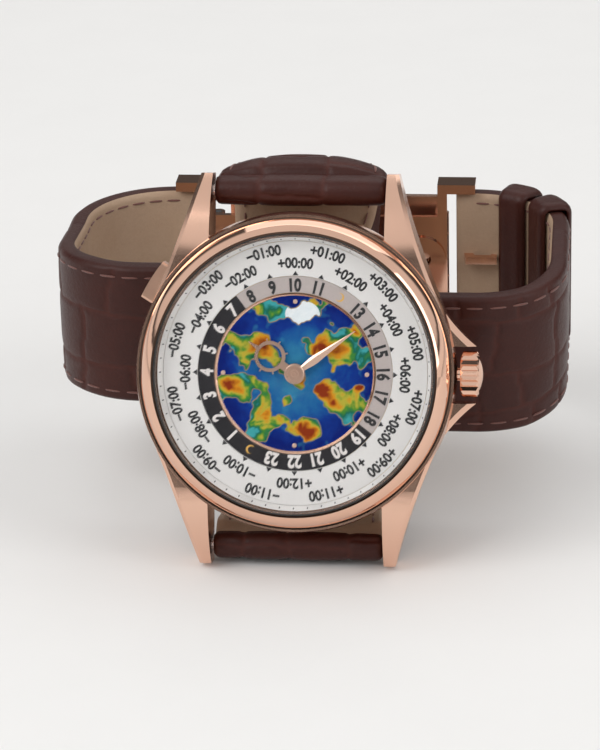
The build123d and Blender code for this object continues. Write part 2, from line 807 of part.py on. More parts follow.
with BuildPart() as hairspring:
    with BuildSketch(head.offset(spring_level)):
        with BuildLine():
            Spline(*spiral_points(-spring_band / 2))
            Spline(*spiral_points(spring_band / 2))
            Line(spiral_points(-spring_band / 2)[0], spiral_points(spring_band / 2)[0])
            Line(spiral_points(-spring_band / 2)[-1], spiral_points(spring_band / 2)[-1])
        make_face()
    extrude(amount=spring_height)
with BuildPart() as micro_rotor:
    with BuildSketch(head.offset(rotor_bottom)):
        with Locations(rotor_centre):
            Circle(rotor_radius)
    extrude(amount=rotor_web)
    with BuildSketch(head.offset(rotor_bottom)):
        with Locations(rotor_centre):
            Circle(rotor_radius)
            Circle(rotor_weight_radius, mode=Mode.SUBTRACT)
        with Locations((rotor_x, rotor_y - rotor_radius)):
            Rectangle(2 * rotor_radius, 2 * rotor_radius, mode=Mode.INTERSECT)
        with Locations(rotor_centre):
            Circle(rotor_hub)
    extrude(amount=rotor_top - rotor_bottom)
    with BuildSketch(head.offset(rotor_top)):
        with Locations(rotor_centre):
            Circle(2 * arbor_radius)
    extrude(amount=plate_bottom - run_gap - rotor_top)

with BuildPart() as movement_ring:
    with BuildSketch(head_section):
        with BuildLine():
            Polyline((plate_radius + seal_gap, casing_ring_top), (casing_ring_outer, casing_ring_top),
                     (casing_ring_outer, case_bottom), (back_crystal_radius + pocket_gap, case_bottom),
                     (back_crystal_radius + pocket_gap, bridge_low), (plate_radius + seal_gap, bridge_low),
                     close=True)
        make_face()
    revolve(axis=head_axis)
    with BuildSketch(Plane(origin=world(stem_start, 0, stem_level), z_dir=head.x_dir)):
        Circle(stem_radius + run_gap)
    extrude(amount=casing_ring_outer, mode=Mode.SUBTRACT)

# Case back: screwed ring, its crystal and the seal between them
case_back_ring = turned([
    (back_opening, back_face), (back_edge, back_face), (back_rim, back_face + back_rim - back_edge),
    (back_rim, case_bottom), (back_crystal_radius + back_crystal_gap, case_bottom),
    (back_crystal_radius + back_crystal_gap, back_crystal_seat), (back_opening, back_crystal_seat)])
case_back_crystal = disc((0, 0), back_crystal_radius, back_crystal_seat + seal_gap, case_bottom - run_gap)
case_back_gasket = turned([
    (back_crystal_radius + seal_gap, back_crystal_seat + seal_gap),
    (back_crystal_radius + back_crystal_gap - seal_gap, back_crystal_seat + seal_gap),
    (back_crystal_radius + back_crystal_gap - seal_gap, case_bottom - run_gap),
    (back_crystal_radius + seal_gap, case_bottom - run_gap)])

# Winding stem, its tube, the fluted crown and its seal, along 3 o'clock
crown_floor = crown_start + crown_cavity_depth
crown_end = crown_start + crown_length


def stem_plane(reach):
    """Plane across the stem at a distance from the middle of the head."""
    return Plane(origin=world(reach, 0, stem_level), x_dir=head.y_dir, z_dir=head.x_dir)


with BuildPart() as winding_stem:
    with BuildSketch(stem_plane(stem_start)):
        Circle(stem_radius)
    extrude(amount=crown_floor - stem_start)
with BuildPart() as crown_tube:
    with BuildSketch(stem_plane(casing_ring_outer + pocket_gap)):
        Circle(tube_radius)
        Circle(stem_radius + run_gap, mode=Mode.SUBTRACT)
    extrude(amount=tube_end - casing_ring_outer - pocket_gap)
with BuildPart() as crown:
    with BuildSketch(stem_plane(crown_start)):
        with BuildLine():
            Polyline(*tooth_points((0, 0), crown_radius + run_gap / 2, crown_flutes, flute_depth), close=True)
        make_face()
    extrude(amount=crown_length)
    with BuildSketch(Plane(origin=world(crown_start, 0, stem_level), x_dir=head.x_dir, z_dir=-head.y_dir)):
        with BuildLine():
            Polyline((0, 0), (0, crown_radius - crown_bevel), (crown_bevel, crown_radius),
                     (crown_length - crown_bevel, crown_radius), (crown_length, crown_radius - crown_bevel),
                     (crown_length, 0), close=True)
        make_face()
    revolve(axis=Axis(world(0, 0, stem_level), head.x_dir), mode=Mode.INTERSECT)
    with BuildSketch(Plane(origin=world(crown_end, 0, stem_level), x_dir=head.x_dir, z_dir=-head.y_dir)):
        cap_reach = crown_radius - crown_bevel - flute_depth
        with BuildLine():
            Line((-crown_dome, 0), (-crown_dome, cap_reach))
            Line((-crown_dome, cap_reach), (0, cap_reach))
            TangentArc((crown_dome, 0), (0, cap_reach), tangent=(0, 1))
            Line((crown_dome, 0), (-crown_dome, 0))
        make_face()
    revolve(axis=Axis(world(0, 0, stem_level), head.x_dir))
    with BuildSketch(stem_plane(crown_start)):
        Circle(crown_cavity)
    extrude(amount=crown_cavity_depth, mode=Mode.SUBTRACT)
with BuildPart() as crown_gasket:
    with BuildSketch(stem_plane(crown_start + pocket_gap)):
        Circle(crown_cavity - seal_gap)
        Circle(tube_radius + run_gap, mode=Mode.SUBTRACT)
    extrude(amount=tube_radius / 2)

# Pusher that steps the city ring, with the sleeve it runs in
pocket_floor = pusher_start - pusher_travel - pocket_gap
with BuildPart() as pusher:
    with BuildSketch(pusher_plane.offset(pusher_start)):
        Rectangle(pusher_height, pusher_length)
    extrude(amount=pusher_end - pusher_start + overrun)
    fillet(pusher.edges().filter_by(Axis(head.origin, pusher_plane.z_dir)), radius=pusher_crown)
    with BuildSketch(head.offset(case_bottom)):
        Circle(pusher_end)
    extrude(amount=case_top - case_bottom, mode=Mode.INTERSECT)
    with BuildSketch(pusher_plane.offset(pusher_stem_start)):
        Circle(pusher_stem)
    extrude(amount=pusher_start - pusher_stem_start)
with BuildPart() as pusher_tube:
    with BuildSketch(pusher_plane.offset(case_bore + run_gap)):
        Circle(pusher_stem + pusher_sleeve)
        Circle(pusher_stem + run_gap, mode=Mode.SUBTRACT)
    extrude(amount=pocket_floor - case_bore - run_gap)

# Strap: where its two halves lie
half_thick = strap_thick / 2
front_y = head_y + loop_gap
back_y = front_y + 2 * fold_radius
clasp_y = front_y + loop_depth
fold_shift = (right_drop - left_drop) / 2
fold_z = head_z - (right_drop + left_drop) / 2
fold_axis_rise = fold_shift + pi * fold_radius / sqrt(2)
clasp_z = head_z - clasp_drop
strap_end_x = clasp_bar_x - strap_end_gap
upper_bar = world(0, bar_reach, bar_level)
lower_bar = world(0, -bar_reach, bar_level)
bars = {upper: upper_bar, lower: lower_bar}


def lug_path(half):
    """Path in Y and Z of a strap half from its bar to the fold: start, heading, runs, outer side."""
    bar = bars[half]
    if half == upper:
        rise = radians(arch_rise)
        run = (back_y - bar.Y - arch_bend * (1 + sin(rise))) / cos(rise)
        drop = bar.Z - fold_z
        return (bar.Y, bar.Z), arch_rise, [(run, 0), (arch_bend, -90 - arch_rise), (drop, 0)], 1
    slope = radians(foot_slope)
    run = (bar.Z - half_thick - foot_bend * (1 - cos(slope))) / sin(slope)
    flat = back_y - foot_rise - bar.Y - run * cos(slope) - foot_bend * sin(slope)
    runs = [(run, 0), (foot_bend, foot_slope), (flat, 0), (foot_rise, 90), (fold_z, 0)]
    return (bar.Y, bar.Z), -foot_slope, runs, -1


def side_path(half):
    """Path in X and Y of a strap half from the fold to the clasp: start, heading, runs, outer side."""
    front_run = loop_half - front_bend + overrun
    side_run = loop_depth - front_bend - back_bend
    back_run = loop_half - back_bend - strap_end_x
    return (half * overrun, front_y), 90 + half * 90, [
        (front_run, 0), (front_bend, -half * 90), (side_run, 0), (back_bend, -half * 90), (back_run, 0)], half


def band_of(path, inner, outer):
    """Draws the band between two distances out from a path's middle line."""
    start, heading, runs, side = path
    draw_band(start, heading, runs, side * inner, side * outer)


def fold_plane(half, angle):
    """Section plane of the diagonal fold: X out of its axis, Y along it."""
    axis_line = Vector(1, 0, 1).normalized()
    crease = Vector(half, 0, -half).normalized()
    out = Vector(0, 1, 0) * cos(angle) + crease * sin(angle)
    ahead = crease * cos(angle) - Vector(0, 1, 0) * sin(angle)
    centre = Vector(0, (front_y + back_y) / 2, fold_z + half * fold_axis_rise)
    return Plane(origin=centre - axis_line * (half * fold_radius * angle), x_dir=out, z_dir=ahead)


def side_run(half, inner, outer):
    """The stretch of a strap half round its side of the loop."""
    front_z = fold_z + half * fold_shift
    front_low, front_high = front_z - fold_width / 2, front_z + fold_width / 2
    back_low, back_high = clasp_z - clasp_width / 2, clasp_z + clasp_width / 2
    with BuildPart() as piece:
        with BuildSketch():
            with BuildLine():
                band_of(side_path(half), inner, outer)
            make_face()
        extrude(amount=2 * head_z)
        with BuildSketch(Plane.YZ):
            with BuildLine():
                Polyline((front_y - strap_thick, front_low), (front_y + level_run, front_low),
                         (clasp_y - clasp_level_run, back_low), (clasp_y + strap_thick, back_low),
                         (clasp_y + strap_thick, back_high), (clasp_y - clasp_level_run, back_high),
                         (front_y + level_run, front_high), (front_y - strap_thick, front_high), close=True)
            make_face()
        extrude(amount=loop_half + strap_thick, both=True, mode=Mode.INTERSECT)
    return piece


def strap_layer(half, inner, outer):
    """One layer of a strap half, from its lug bar over the fold to the clasp."""
    side_piece = side_run(half, inner, outer)
    bar = bars[half]
    taper_start = bar.Y + 2 * roll_radius
    with BuildPart() as piece:
        with BuildSketch(Plane.YZ):
            with BuildLine():
                band_of(lug_path(half), inner, outer)
            make_face()
        extrude(amount=strap_width, both=True)
        with BuildSketch():
            with BuildLine():
                Polyline((strap_width / 2, bar.Y - strap_thick), (strap_width / 2, taper_start),
                         (fold_width / 2, back_y - half_thick), (fold_width / 2, back_y + strap_thick),
                         (-fold_width / 2, back_y + strap_thick), (-fold_width / 2, back_y - half_thick),
                         (-strap_width / 2, taper_start), (-strap_width / 2, bar.Y - strap_thick), close=True)
            make_face()
        extrude(amount=3 * head_z, mode=Mode.INTERSECT)
        add(side_piece.part)
        split(bisect_by=fold_plane(half, 0), keep=Keep.BOTTOM)
        for step in range(fold_steps + 1):
            with BuildSketch(fold_plane(half, step * step_angle)):
                with Locations((fold_radius + (inner + outer) / 2, 0)):
                    Rectangle(outer - inner, fold_width * sqrt(2))
        loft(ruled=True)
        if half == lower:
            split(bisect_by=Plane.XY, keep=Keep.TOP)
    return piece


def cut_strap_holes(half, radius):
    """Bar holes and, on the lower half, the holes for the tongue and its notch."""
    with BuildSketch(Plane(origin=bars[half], z_dir=(1, 0, 0))) as lug_hole:
        Circle(radius)
    extrude(lug_hole.sketch, amount=strap_width, both=True, mode=Mode.SUBTRACT)
    with BuildSketch(Plane.XY.offset(clasp_z - clasp_width)) as clasp_hole:
        with Locations((-half * clasp_bar_x, clasp_y)):
            Circle(clasp_bar_radius + run_gap)
    extrude(clasp_hole.sketch, amount=2 * clasp_width, mode=Mode.SUBTRACT)
    if half == lower:
        row_plane = Plane(origin=(0, clasp_y - back_bend, clasp_z), x_dir=(1, 0, 0), z_dir=(0, 1, 0))
        with BuildSketch(row_plane) as hole_row:
            for index in range(hole_count):
                with Locations((clasp_bar_x + tongue_reach + index * hole_pitch, 0)):
                    Circle(hole_radius)
        extrude(hole_row.sketch, amount=2 * back_bend, mode=Mode.SUBTRACT)
        with BuildSketch(Plane.XY.offset(clasp_z - tongue_notch)) as notch:
            with Locations((clasp_bar_x, clasp_y)):
                Rectangle(2 * tongue_ring + 2 * pocket_gap, 2 * strap_thick)
        extrude(notch.sketch, amount=2 * tongue_notch, mode=Mode.SUBTRACT)


straps = {}
linings = {}
for half in (upper, lower):
    layer = strap_layer(half, lining_thick - half_thick, half_thick)
    with BuildPart() as strap:
        add(layer.part)
        with BuildSketch(Plane(origin=bars[half], z_dir=(1, 0, 0))):
            Circle(roll_radius)
        extrude(amount=strap_width / 2, both=True)
        cut_strap_holes(half, bar_radius + run_gap)
    straps[half] = strap
    layer = strap_layer(half, -half_thick, lining_thick - half_thick)
    with BuildPart() as lining:
        add(layer.part)
        cut_strap_holes(half, roll_radius)
    linings[half] = lining
strap_upper, strap_lower = straps[upper], straps[lower]
strap_upper_lining, strap_lower_lining = linings[upper], linings[lower]

spring_bars = {}
for half in (upper, lower):
    with BuildPart() as spring_bar:
        with BuildSketch(Plane(origin=bars[half], z_dir=(1, 0, 0))):
            Circle(bar_radius)
        extrude(amount=lug_inner - pocket_gap, both=True)
        with BuildSketch(Plane(origin=bars[half], z_dir=(1, 0, 0))):
            Circle(bar_tip_radius)
        extrude(amount=lug_inner + bar_tip_length, both=True)
    spring_bars[half] = spring_bar
spring_bar_upper, spring_bar_lower = spring_bars[upper], spring_bars[lower]


# Folding clasp: bow, blade, cover, pins, bars and tongue, then the two keepers
def clasp_face(level):
    """Plane across the clasp at a level out of the loop, with X as in the whole watch."""
    return Plane(origin=(0, clasp_y + level, clasp_z), x_dir=(1, 0, 0), z_dir=(0, 1, 0))


def upright(x, level, radius, low, high, mode=Mode.ADD):
    """Upright round bar or hole of the clasp, between two heights from its middle."""
    with BuildSketch(Plane.XY.offset(clasp_z + low)) as section:
        with Locations((x, clasp_y + level)):
            Circle(radius)
    extrude(section.sketch, amount=high - low, mode=mode)


arm_low = clasp_width / 2 + clasp_arm_gap
arm_high = arm_low + clasp_arm
arm_length = clasp_bar_x - clasp_half + 2 * clasp_arm
knuckle_high = clasp_plate_half
knuckle_low = knuckle_half + knuckle_gap
pin_hole = clasp_pin_radius + fit_gap
with BuildPart() as clasp_bow:
    with BuildSketch(clasp_face(clasp_plate_level)):
        Rectangle(2 * clasp_half, 2 * clasp_plate_half)
        with Locations((clasp_half - clasp_arm / 2, 0), (clasp_arm / 2 - clasp_half, 0)):
            Rectangle(clasp_arm, 2 * arm_high)
        with Locations((blade_pin_x, 0)):
            Rectangle(2 * knuckle_radius + 2 * knuckle_gap, 2 * knuckle_low, mode=Mode.SUBTRACT)
        with Locations((disc_x, 0)):
            Circle(disc_hole, mode=Mode.SUBTRACT)
    extrude(amount=clasp_plate_thick)
    with BuildSketch(clasp_face(clasp_plate_level)):
        with Locations((disc_x, 0)):
            Circle(disc_radius)
            Circle(disc_hole, mode=Mode.SUBTRACT)
    extrude(amount=-disc_thick)
    with BuildSketch(clasp_face(clasp_plate_level)):
        for side_x in (-1, 1):
            for side_z in (-1, 1):
                with Locations((side_x * (clasp_half - clasp_arm + arm_length / 2),
                                side_z * (arm_low + clasp_arm / 2))):
                    Rectangle(arm_length, clasp_arm)
    extrude(amount=clasp_arm_top - clasp_plate_level)
    for side_x in (-1, 1):
        upright(side_x * clasp_bar_x, 0, clasp_bar_radius + fit_gap, -arm_high, arm_high, Mode.SUBTRACT)
    for low, high in ((-knuckle_high, -knuckle_low), (knuckle_low, knuckle_high)):
        upright(blade_pin_x, blade_pin_level, knuckle_radius, low, high)
    upright(blade_pin_x, blade_pin_level, pin_hole, -knuckle_high, knuckle_high, Mode.SUBTRACT)
with BuildPart() as clasp_blade:
    with BuildSketch(clasp_face(blade_level)):
        with Locations(((blade_pin_x + cover_pin_x) / 2, 0)):
            Rectangle(cover_pin_x - blade_pin_x, 2 * knuckle_half)
    extrude(amount=blade_thick)
    upright(blade_pin_x, blade_pin_level, knuckle_radius, -knuckle_half, knuckle_half)
    upright(cover_pin_x, cover_pin_level, knuckle_radius, -knuckle_half, knuckle_half)
    upright(blade_pin_x, blade_pin_level, pin_hole, -knuckle_half, knuckle_half, Mode.SUBTRACT)
    upright(cover_pin_x, cover_pin_level, pin_hole, -knuckle_half, knuckle_half, Mode.SUBTRACT)
with BuildPart() as clasp_cover:
    with BuildSketch(clasp_face(cover_level)):
        with Locations(((cover_start_x + cover_pin_x) / 2, 0)):
            Rectangle(cover_pin_x - cover_start_x, 2 * cover_half_height)
        with Locations((cover_pin_x, 0)):
            Rectangle(2 * knuckle_radius + 2 * knuckle_gap, 2 * knuckle_low, mode=Mode.SUBTRACT)
    extrude(amount=cover_thick)
    for low, high in ((-knuckle_high, -knuckle_low), (knuckle_low, knuckle_high)):
        upright(cover_pin_x, cover_pin_level, knuckle_radius, low, high)
    upright(cover_pin_x, cover_pin_level, pin_hole, -knuckle_high, knuckle_high, Mode.SUBTRACT)
with BuildPart() as blade_pin:
    upright(blade_pin_x, blade_pin_level, clasp_pin_radius, -knuckle_high, knuckle_high)
with BuildPart() as cover_pin:
    upright(cover_pin_x, cover_pin_level, clasp_pin_radius, -knuckle_high, knuckle_high)
with BuildPart() as clasp_bars:
    for side_x in (-1, 1):
        upright(side_x * clasp_bar_x, 0, clasp_bar_radius, -arm_high, arm_high)
with BuildPart() as buckle_tongue:
    tongue_end = clasp_bar_x + tongue_reach + tongue_peg
    with BuildSketch(Plane.XY.offset(clasp_z - tongue_radius)):
        with Locations((clasp_bar_x, clasp_y)):
            Circle(tongue_ring)
        with BuildLine():
            Polyline((clasp_bar_x - tongue_radius, clasp_y), (clasp_bar_x + tongue_radius, clasp_y),
                     (clasp_bar_x + tongue_ring, clasp_y + tongue_level + tongue_radius),
                     (tongue_end - 2 * tongue_peg, clasp_y + tongue_level + tongue_radius),
                     (tongue_end - 2 * tongue_peg, clasp_y + tongue_tip), (tongue_end, clasp_y + tongue_tip),
                     (tongue_end, clasp_y + tongue_level - tongue_radius),
                     (clasp_bar_x, clasp_y + tongue_level - tongue_radius), close=True)
        make_face()
        with Locations((clasp_bar_x, clasp_y)):
            Circle(clasp_bar_radius + run_gap, mode=Mode.SUBTRACT)
    extrude(amount=2 * tongue_radius)


def keeper(place):
    """Leather loop round the lower strap half, centred at a distance along its back bend."""
    centre = (back_straight, clasp_y - back_bend)
    turn = place / back_bend
    half_turn = keeper_width / 2 / back_bend
    cavity = half_thick + keeper_gap
    walls = ((cavity + keeper_thick, clasp_width / 2 + keeper_gap + keeper_thick, 0, Mode.ADD),
             (cavity, clasp_width / 2 + keeper_gap, half_turn, Mode.SUBTRACT))
    with BuildPart() as piece:
        for reach, half_height, extra, mode in walls:
            first = pi / 2 - turn - half_turn - extra
            last = pi / 2 - turn + half_turn + extra
            corners = []
            for radius, angles in ((back_bend - reach, (first, (first + last) / 2, last)),
                                   (back_bend + reach, (last, (first + last) / 2, first))):
                corners.append([(centre[0] + radius * cos(angle), centre[1] + radius * sin(angle))
                                for angle in angles])
            with BuildSketch(Plane.XY.offset(clasp_z - half_height)):
                with BuildLine():
                    ThreePointArc(*corners[0])
                    Line(corners[0][2], corners[1][0])
                    ThreePointArc(*corners[1])
                    Line(corners[1][2], corners[0][0])
                make_face()
            extrude(amount=2 * half_height, mode=mode)
    return piece


keeper_fixed = keeper(fixed_keeper_place)
keeper_sliding = keeper(sliding_keeper_place)

pieces = {
    "case_middle": case_middle, "bezel": bezel, "crystal": crystal, "crystal_gasket": crystal_gasket,
    "rehaut_ring": rehaut_ring, "dial_base": dial_base, "city_ring": city_ring, "hour_ring": hour_ring,
    "map_dial": map_dial, "map_rim": map_rim, "dial_pips": dial_pips, "cannon_pinion": cannon_pinion,
    "hour_wheel": hour_wheel, "minute_wheel": minute_wheel, "minute_hand": minute_hand,
    "hour_hand": hour_hand, "hand_cap": hand_cap, "main_plate": main_plate,
    "train_bridge": train_bridge, "barrel_bridge": barrel_bridge, "balance_cock": balance_cock,
    "jewels": jewels, "bridge_screws": bridge_screws, "barrel": barrel, "center_wheel": center_wheel,
    "third_wheel": third_wheel, "fourth_wheel": fourth_wheel, "escape_wheel": escape_wheel,
    "pallet_fork": pallet_fork, "balance_wheel": balance_wheel, "hairspring": hairspring,
    "micro_rotor": micro_rotor, "movement_ring": movement_ring, "case_back_ring": case_back_ring,
    "case_back_crystal": case_back_crystal, "case_back_gasket": case_back_gasket,
    "winding_stem": winding_stem, "crown_tube": crown_tube, "crown": crown, "crown_gasket": crown_gasket,
    "pusher": pusher, "pusher_tube": pusher_tube, "strap_upper": strap_upper, "strap_lower": strap_lower,
    "strap_upper_lining": strap_upper_lining, "strap_lower_lining": strap_lower_lining,
    "spring_bar_upper": spring_bar_upper, "spring_bar_lower": spring_bar_lower, "clasp_bow": clasp_bow,
    "clasp_blade": clasp_blade, "clasp_cover": clasp_cover, "blade_pin": blade_pin,
    "cover_pin": cover_pin, "clasp_bars": clasp_bars, "buckle_tongue": buckle_tongue,
    "keeper_fixed": keeper_fixed, "keeper_sliding": keeper_sliding}
os.makedirs("parts", exist_ok=True)
for label, piece in pieces.items():
    piece.part.label = label
    export_step(piece.part, f"parts/{label}.step")
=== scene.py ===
"""World time wristwatch on its leather strap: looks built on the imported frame, in metres."""

import math

import bpy
import numpy as np
from mathutils import Matrix, Vector


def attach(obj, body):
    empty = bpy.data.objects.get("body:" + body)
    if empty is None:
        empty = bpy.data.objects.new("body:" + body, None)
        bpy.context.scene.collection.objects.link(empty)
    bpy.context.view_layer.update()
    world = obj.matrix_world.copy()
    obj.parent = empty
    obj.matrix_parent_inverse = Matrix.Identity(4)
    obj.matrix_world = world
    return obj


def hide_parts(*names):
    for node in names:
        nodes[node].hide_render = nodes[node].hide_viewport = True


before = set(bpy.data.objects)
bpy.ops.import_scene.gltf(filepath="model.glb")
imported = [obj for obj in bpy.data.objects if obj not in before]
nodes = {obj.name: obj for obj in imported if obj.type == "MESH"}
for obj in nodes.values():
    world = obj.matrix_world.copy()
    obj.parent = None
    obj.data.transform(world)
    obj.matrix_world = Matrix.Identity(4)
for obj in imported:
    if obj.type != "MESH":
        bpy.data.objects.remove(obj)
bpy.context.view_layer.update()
MM = 0.001

# Sizes shared with the model, in mm and degrees; a level is measured out of the dial
LEAN = math.radians(18)
CASE_R, LUG_LENGTH, LUG_HEEL, TIP_FLAT = 20.0, 4.6, -5.6, 0.14
LUG_REACH = CASE_R + LUG_LENGTH
BAR_INSET, BAR_LEVEL = 2.25, -4.1
BAR_REACH = LUG_REACH - BAR_INSET
CRYSTAL_R, CRYSTAL_LEVEL, DIAL_TOP = 17.0, 4.85, 2.3
LOOP_GAP, LOOP_DEPTH, LOOP_HALF = 12.4, 32.7, 32.0
STRAP_W, FOLD_W, CLASP_W = 21.4, 18.6, 18.0
HALF_THICK, ROLL = 1.3, 1.85
FOLD_R, FRONT_BEND, BACK_STRAIGHT = 3.4, 10.5, 20.0
BACK_BEND = LOOP_HALF - BACK_STRAIGHT
SIDE_RUN = LOOP_DEPTH - FRONT_BEND - BACK_BEND
ARCH_RISE, ARCH_BEND = 28, 4.0
FOOT_SLOPE, FOOT_BEND, FOOT_RISE = 7, 8.0, 4.0
FRONT_LEVEL_RUN, CLASP_LEVEL_RUN = 2.0, 14.5
LEFT_DROP, RIGHT_DROP, CLASP_DROP = 0.1, 3.7, 1.2
CLASP_BAR_X, STRAP_END_GAP = 19.0, 1.3
STRAP_END_X = CLASP_BAR_X - STRAP_END_GAP
TAPER_START = 3.8
UPPER, LOWER = 1, -1

# The head's middle, and its axes to 3 o'clock, to 12 o'clock and out of the dial
FRONT_REACH = CRYSTAL_R * math.sin(LEAN) + CRYSTAL_LEVEL * math.cos(LEAN)
HEAD_Y = (FRONT_REACH - LOOP_GAP - LOOP_DEPTH - HALF_THICK) / 2
HEAD_Z = LUG_REACH * math.cos(LEAN) - LUG_HEEL * math.sin(LEAN) - TIP_FLAT
HEAD = np.array([0, HEAD_Y, HEAD_Z])
XH = np.array([1.0, 0, 0])
YH = np.array([0, math.sin(LEAN), math.cos(LEAN)])
NH = np.array([0, -math.cos(LEAN), math.sin(LEAN)])

# The strap's loop behind the head; the last size is the way round its side to the end of the back bend
FRONT_Y = HEAD_Y + LOOP_GAP
BACK_Y = FRONT_Y + 2 * FOLD_R
CLASP_Y = FRONT_Y + LOOP_DEPTH
CLASP_Z = HEAD_Z - CLASP_DROP
FOLD_SHIFT = (RIGHT_DROP - LEFT_DROP) / 2
FOLD_Z = HEAD_Z - (RIGHT_DROP + LEFT_DROP) / 2
FOLD_RISE = FOLD_SHIFT + math.pi * FOLD_R / math.sqrt(2)
BACK_BEND_END = LOOP_HALF - FRONT_BEND + (FRONT_BEND + BACK_BEND) * math.pi / 2 + SIDE_RUN

# The dial's print, in mm and degrees: the day's half of the 24 hour ring and the sixty minute marks
DAY_FROM, DAY_TO = -37.5, 127.5
MINUTES, MARK_RING, MARK_R = 60, 16.74, 0.085


def head_point(x, y, level):
    """Points of the head, in mm, from 3 o'clock, 12 o'clock and out of the dial."""
    x, y, level = np.broadcast_arrays(np.asarray(x, float), y, level)
    return HEAD + x[..., None] * XH + y[..., None] * YH + level[..., None] * NH


# Node materials
def material(name):
    """A new node material with its tree and its main shader."""
    mat = bpy.data.materials.new(name)
    mat.use_nodes = True
    tree = mat.node_tree
    shader = next(n for n in tree.nodes if n.type == "BSDF_PRINCIPLED")
    return mat, tree, shader


def join(tree, node, links):
    """Links or sets a node's inputs: links is a list of (input, value)."""
    for key, value in links:
        if isinstance(value, bpy.types.NodeSocket):
            tree.links.new(value, node.inputs[key])
        else:
            node.inputs[key].default_value = value


def put(tree, kind, links=(), **values):
    """A new node with its settings, and its inputs linked or set."""
    node = tree.nodes.new(kind)
    for key, value in values.items():
        setattr(node, key, value)
    join(tree, node, links)
    return node


def calc(tree, operation, a, b=0.0, c=None, clamp=False):
    """A maths node."""
    links = [(0, a), (1, b)]
    if c is not None:
        links.append((2, c))
    return put(tree, "ShaderNodeMath", links, operation=operation, use_clamp=clamp).outputs[0]


def ramp(tree, factor, stops):
    """A colour ramp from (place, colour) stops."""
    node = put(tree, "ShaderNodeValToRGB", [(0, factor)])
    points = node.color_ramp.elements
    while len(points) < len(stops):
        points.new(0.5)
    for point, (place, colour) in zip(points, stops):
        point.position = place
        point.color = tuple(colour) + (1.0,)
    return node.outputs[0]


def blend_colour(tree, factor, a, b, kind="MIX"):
    """A colour mix."""
    first, second = (v if isinstance(v, bpy.types.NodeSocket) else (*v, 1.0) for v in (a, b))
    return put(tree, "ShaderNodeMix", [(0, factor), (6, first), (7, second)], data_type="RGBA",
               blend_type=kind).outputs[2]


def noise(tree, scale, detail, roughness=0.55, distortion=0.0, coords=None):
    """A noise texture's value, in the object's coordinates unless others are given."""
    if coords is None:
        coords = object_coords(tree)
    return put(tree, "ShaderNodeTexNoise", [("Vector", coords), ("Scale", scale), ("Detail", detail),
               ("Roughness", roughness), ("Distortion", distortion)]).outputs[0]


def bump(tree, shader, height, strength, depth):
    """Bump on the shader, from a height."""
    node = put(tree, "ShaderNodeBump", [("Height", height), ("Strength", strength), ("Distance", depth)])
    join(tree, shader, [("Normal", node.outputs[0])])


def object_coords(tree):
    """The object's own coordinates, in metres."""
    return put(tree, "ShaderNodeTexCoord").outputs["Object"]


def dial_coords(tree):
    """Coordinates in metres from the dial's middle to 3 o'clock and to 12 o'clock."""
    moved = put(tree, "ShaderNodeVectorMath", [(0, object_coords(tree)), (1, tuple(HEAD * MM))],
                operation="SUBTRACT").outputs[0]
    return [put(tree, "ShaderNodeVectorMath", [(0, moved), (1, tuple(axis))],
                operation="DOT_PRODUCT").outputs[1] for axis in (XH, YH)]


def hypot(tree, a, b):
    """Distance from the origin, from two coordinates at right angles."""
    return calc(tree, "SQRT", calc(tree, "ADD", calc(tree, "MULTIPLY", a, a), calc(tree, "MULTIPLY", b, b)))


def attribute(tree, name):
    """A value stored at the mesh's points."""
    return put(tree, "ShaderNodeAttribute", attribute_name=name).outputs["Fac"]


def metal(name, colour, rough, scratches=0.35, brushed=None):
    """Metal with faint handling marks; brushed is a stretch of the grain along each axis."""
    mat, tree, shader = material(name)
    wide = noise(tree, 260, 3)
    tint = blend_colour(tree, wide, [c * 0.96 for c in colour], [min(1, c * 1.03) for c in colour])
    if brushed:
        grain = put(tree, "ShaderNodeMapping", [("Vector", object_coords(tree)), ("Scale", brushed)])
        fine = noise(tree, 900, 6, 0.7, coords=grain.outputs[0])
    else:
        fine = noise(tree, 2600, 6, 0.7)
    mixed = calc(tree, "MULTIPLY_ADD", fine, rough * 0.5, rough * 0.75)
    smudge = calc(tree, "MULTIPLY_ADD", wide, rough * 0.5, mixed)
    join(tree, shader, [("Metallic", 1.0), ("Base Color", tint), ("Roughness", smudge)])
    bump(tree, shader, fine, scratches * 0.12, 0.00002)
    return mat


ROSE = (0.82, 0.52, 0.39)
rose_gold = metal("rose_gold_polished", ROSE, 0.06, 0.2)
case_gold = metal("rose_gold_case", ROSE, 0.15, 0.04)
rose_satin = metal("rose_gold_satin", (0.72, 0.45, 0.33), 0.24, 1.0)
wire_gold = metal("map_wire_gold", (0.34, 0.24, 0.15), 0.35)
pip_gold = metal("rose_gold_frosted", (0.86, 0.62, 0.50), 0.3, 0.4)
rose_brushed = metal("rose_gold_brushed", ROSE, 0.2, 1.6, (0.04, 1.0, 1.0))
hand_gold = metal("rose_gold_hands", (0.80, 0.54, 0.42), 0.23, 0.5)
steel = metal("steel_satin", (0.62, 0.62, 0.64), 0.28, 0.8)
bright_steel = metal("steel_polished", (0.70, 0.70, 0.72), 0.1)
gilt = metal("gilt_brass", (0.80, 0.60, 0.30), 0.25, 0.8)


STRIPE = 1.7


def striped_plate():
    """Rhodium plate with round-cut stripes."""
    mat, tree, shader = material("striped_plate")
    u, v = dial_coords(tree)
    slant = calc(tree, "ADD", calc(tree, "MULTIPLY", u, 0.82), calc(tree, "MULTIPLY", v, 0.57))
    wave = calc(tree, "SINE", calc(tree, "MULTIPLY", slant, 2 * math.pi / (STRIPE * MM)))
    across = calc(tree, "ABSOLUTE", wave)
    colour = ramp(tree, across, [(0.0, (0.48, 0.48, 0.50)), (1.0, (0.72, 0.72, 0.74))])
    join(tree, shader, [("Metallic", 1.0), ("Base Color", colour), ("Roughness", 0.25)])
    bump(tree, shader, across, 0.5, 0.00005)
    return mat


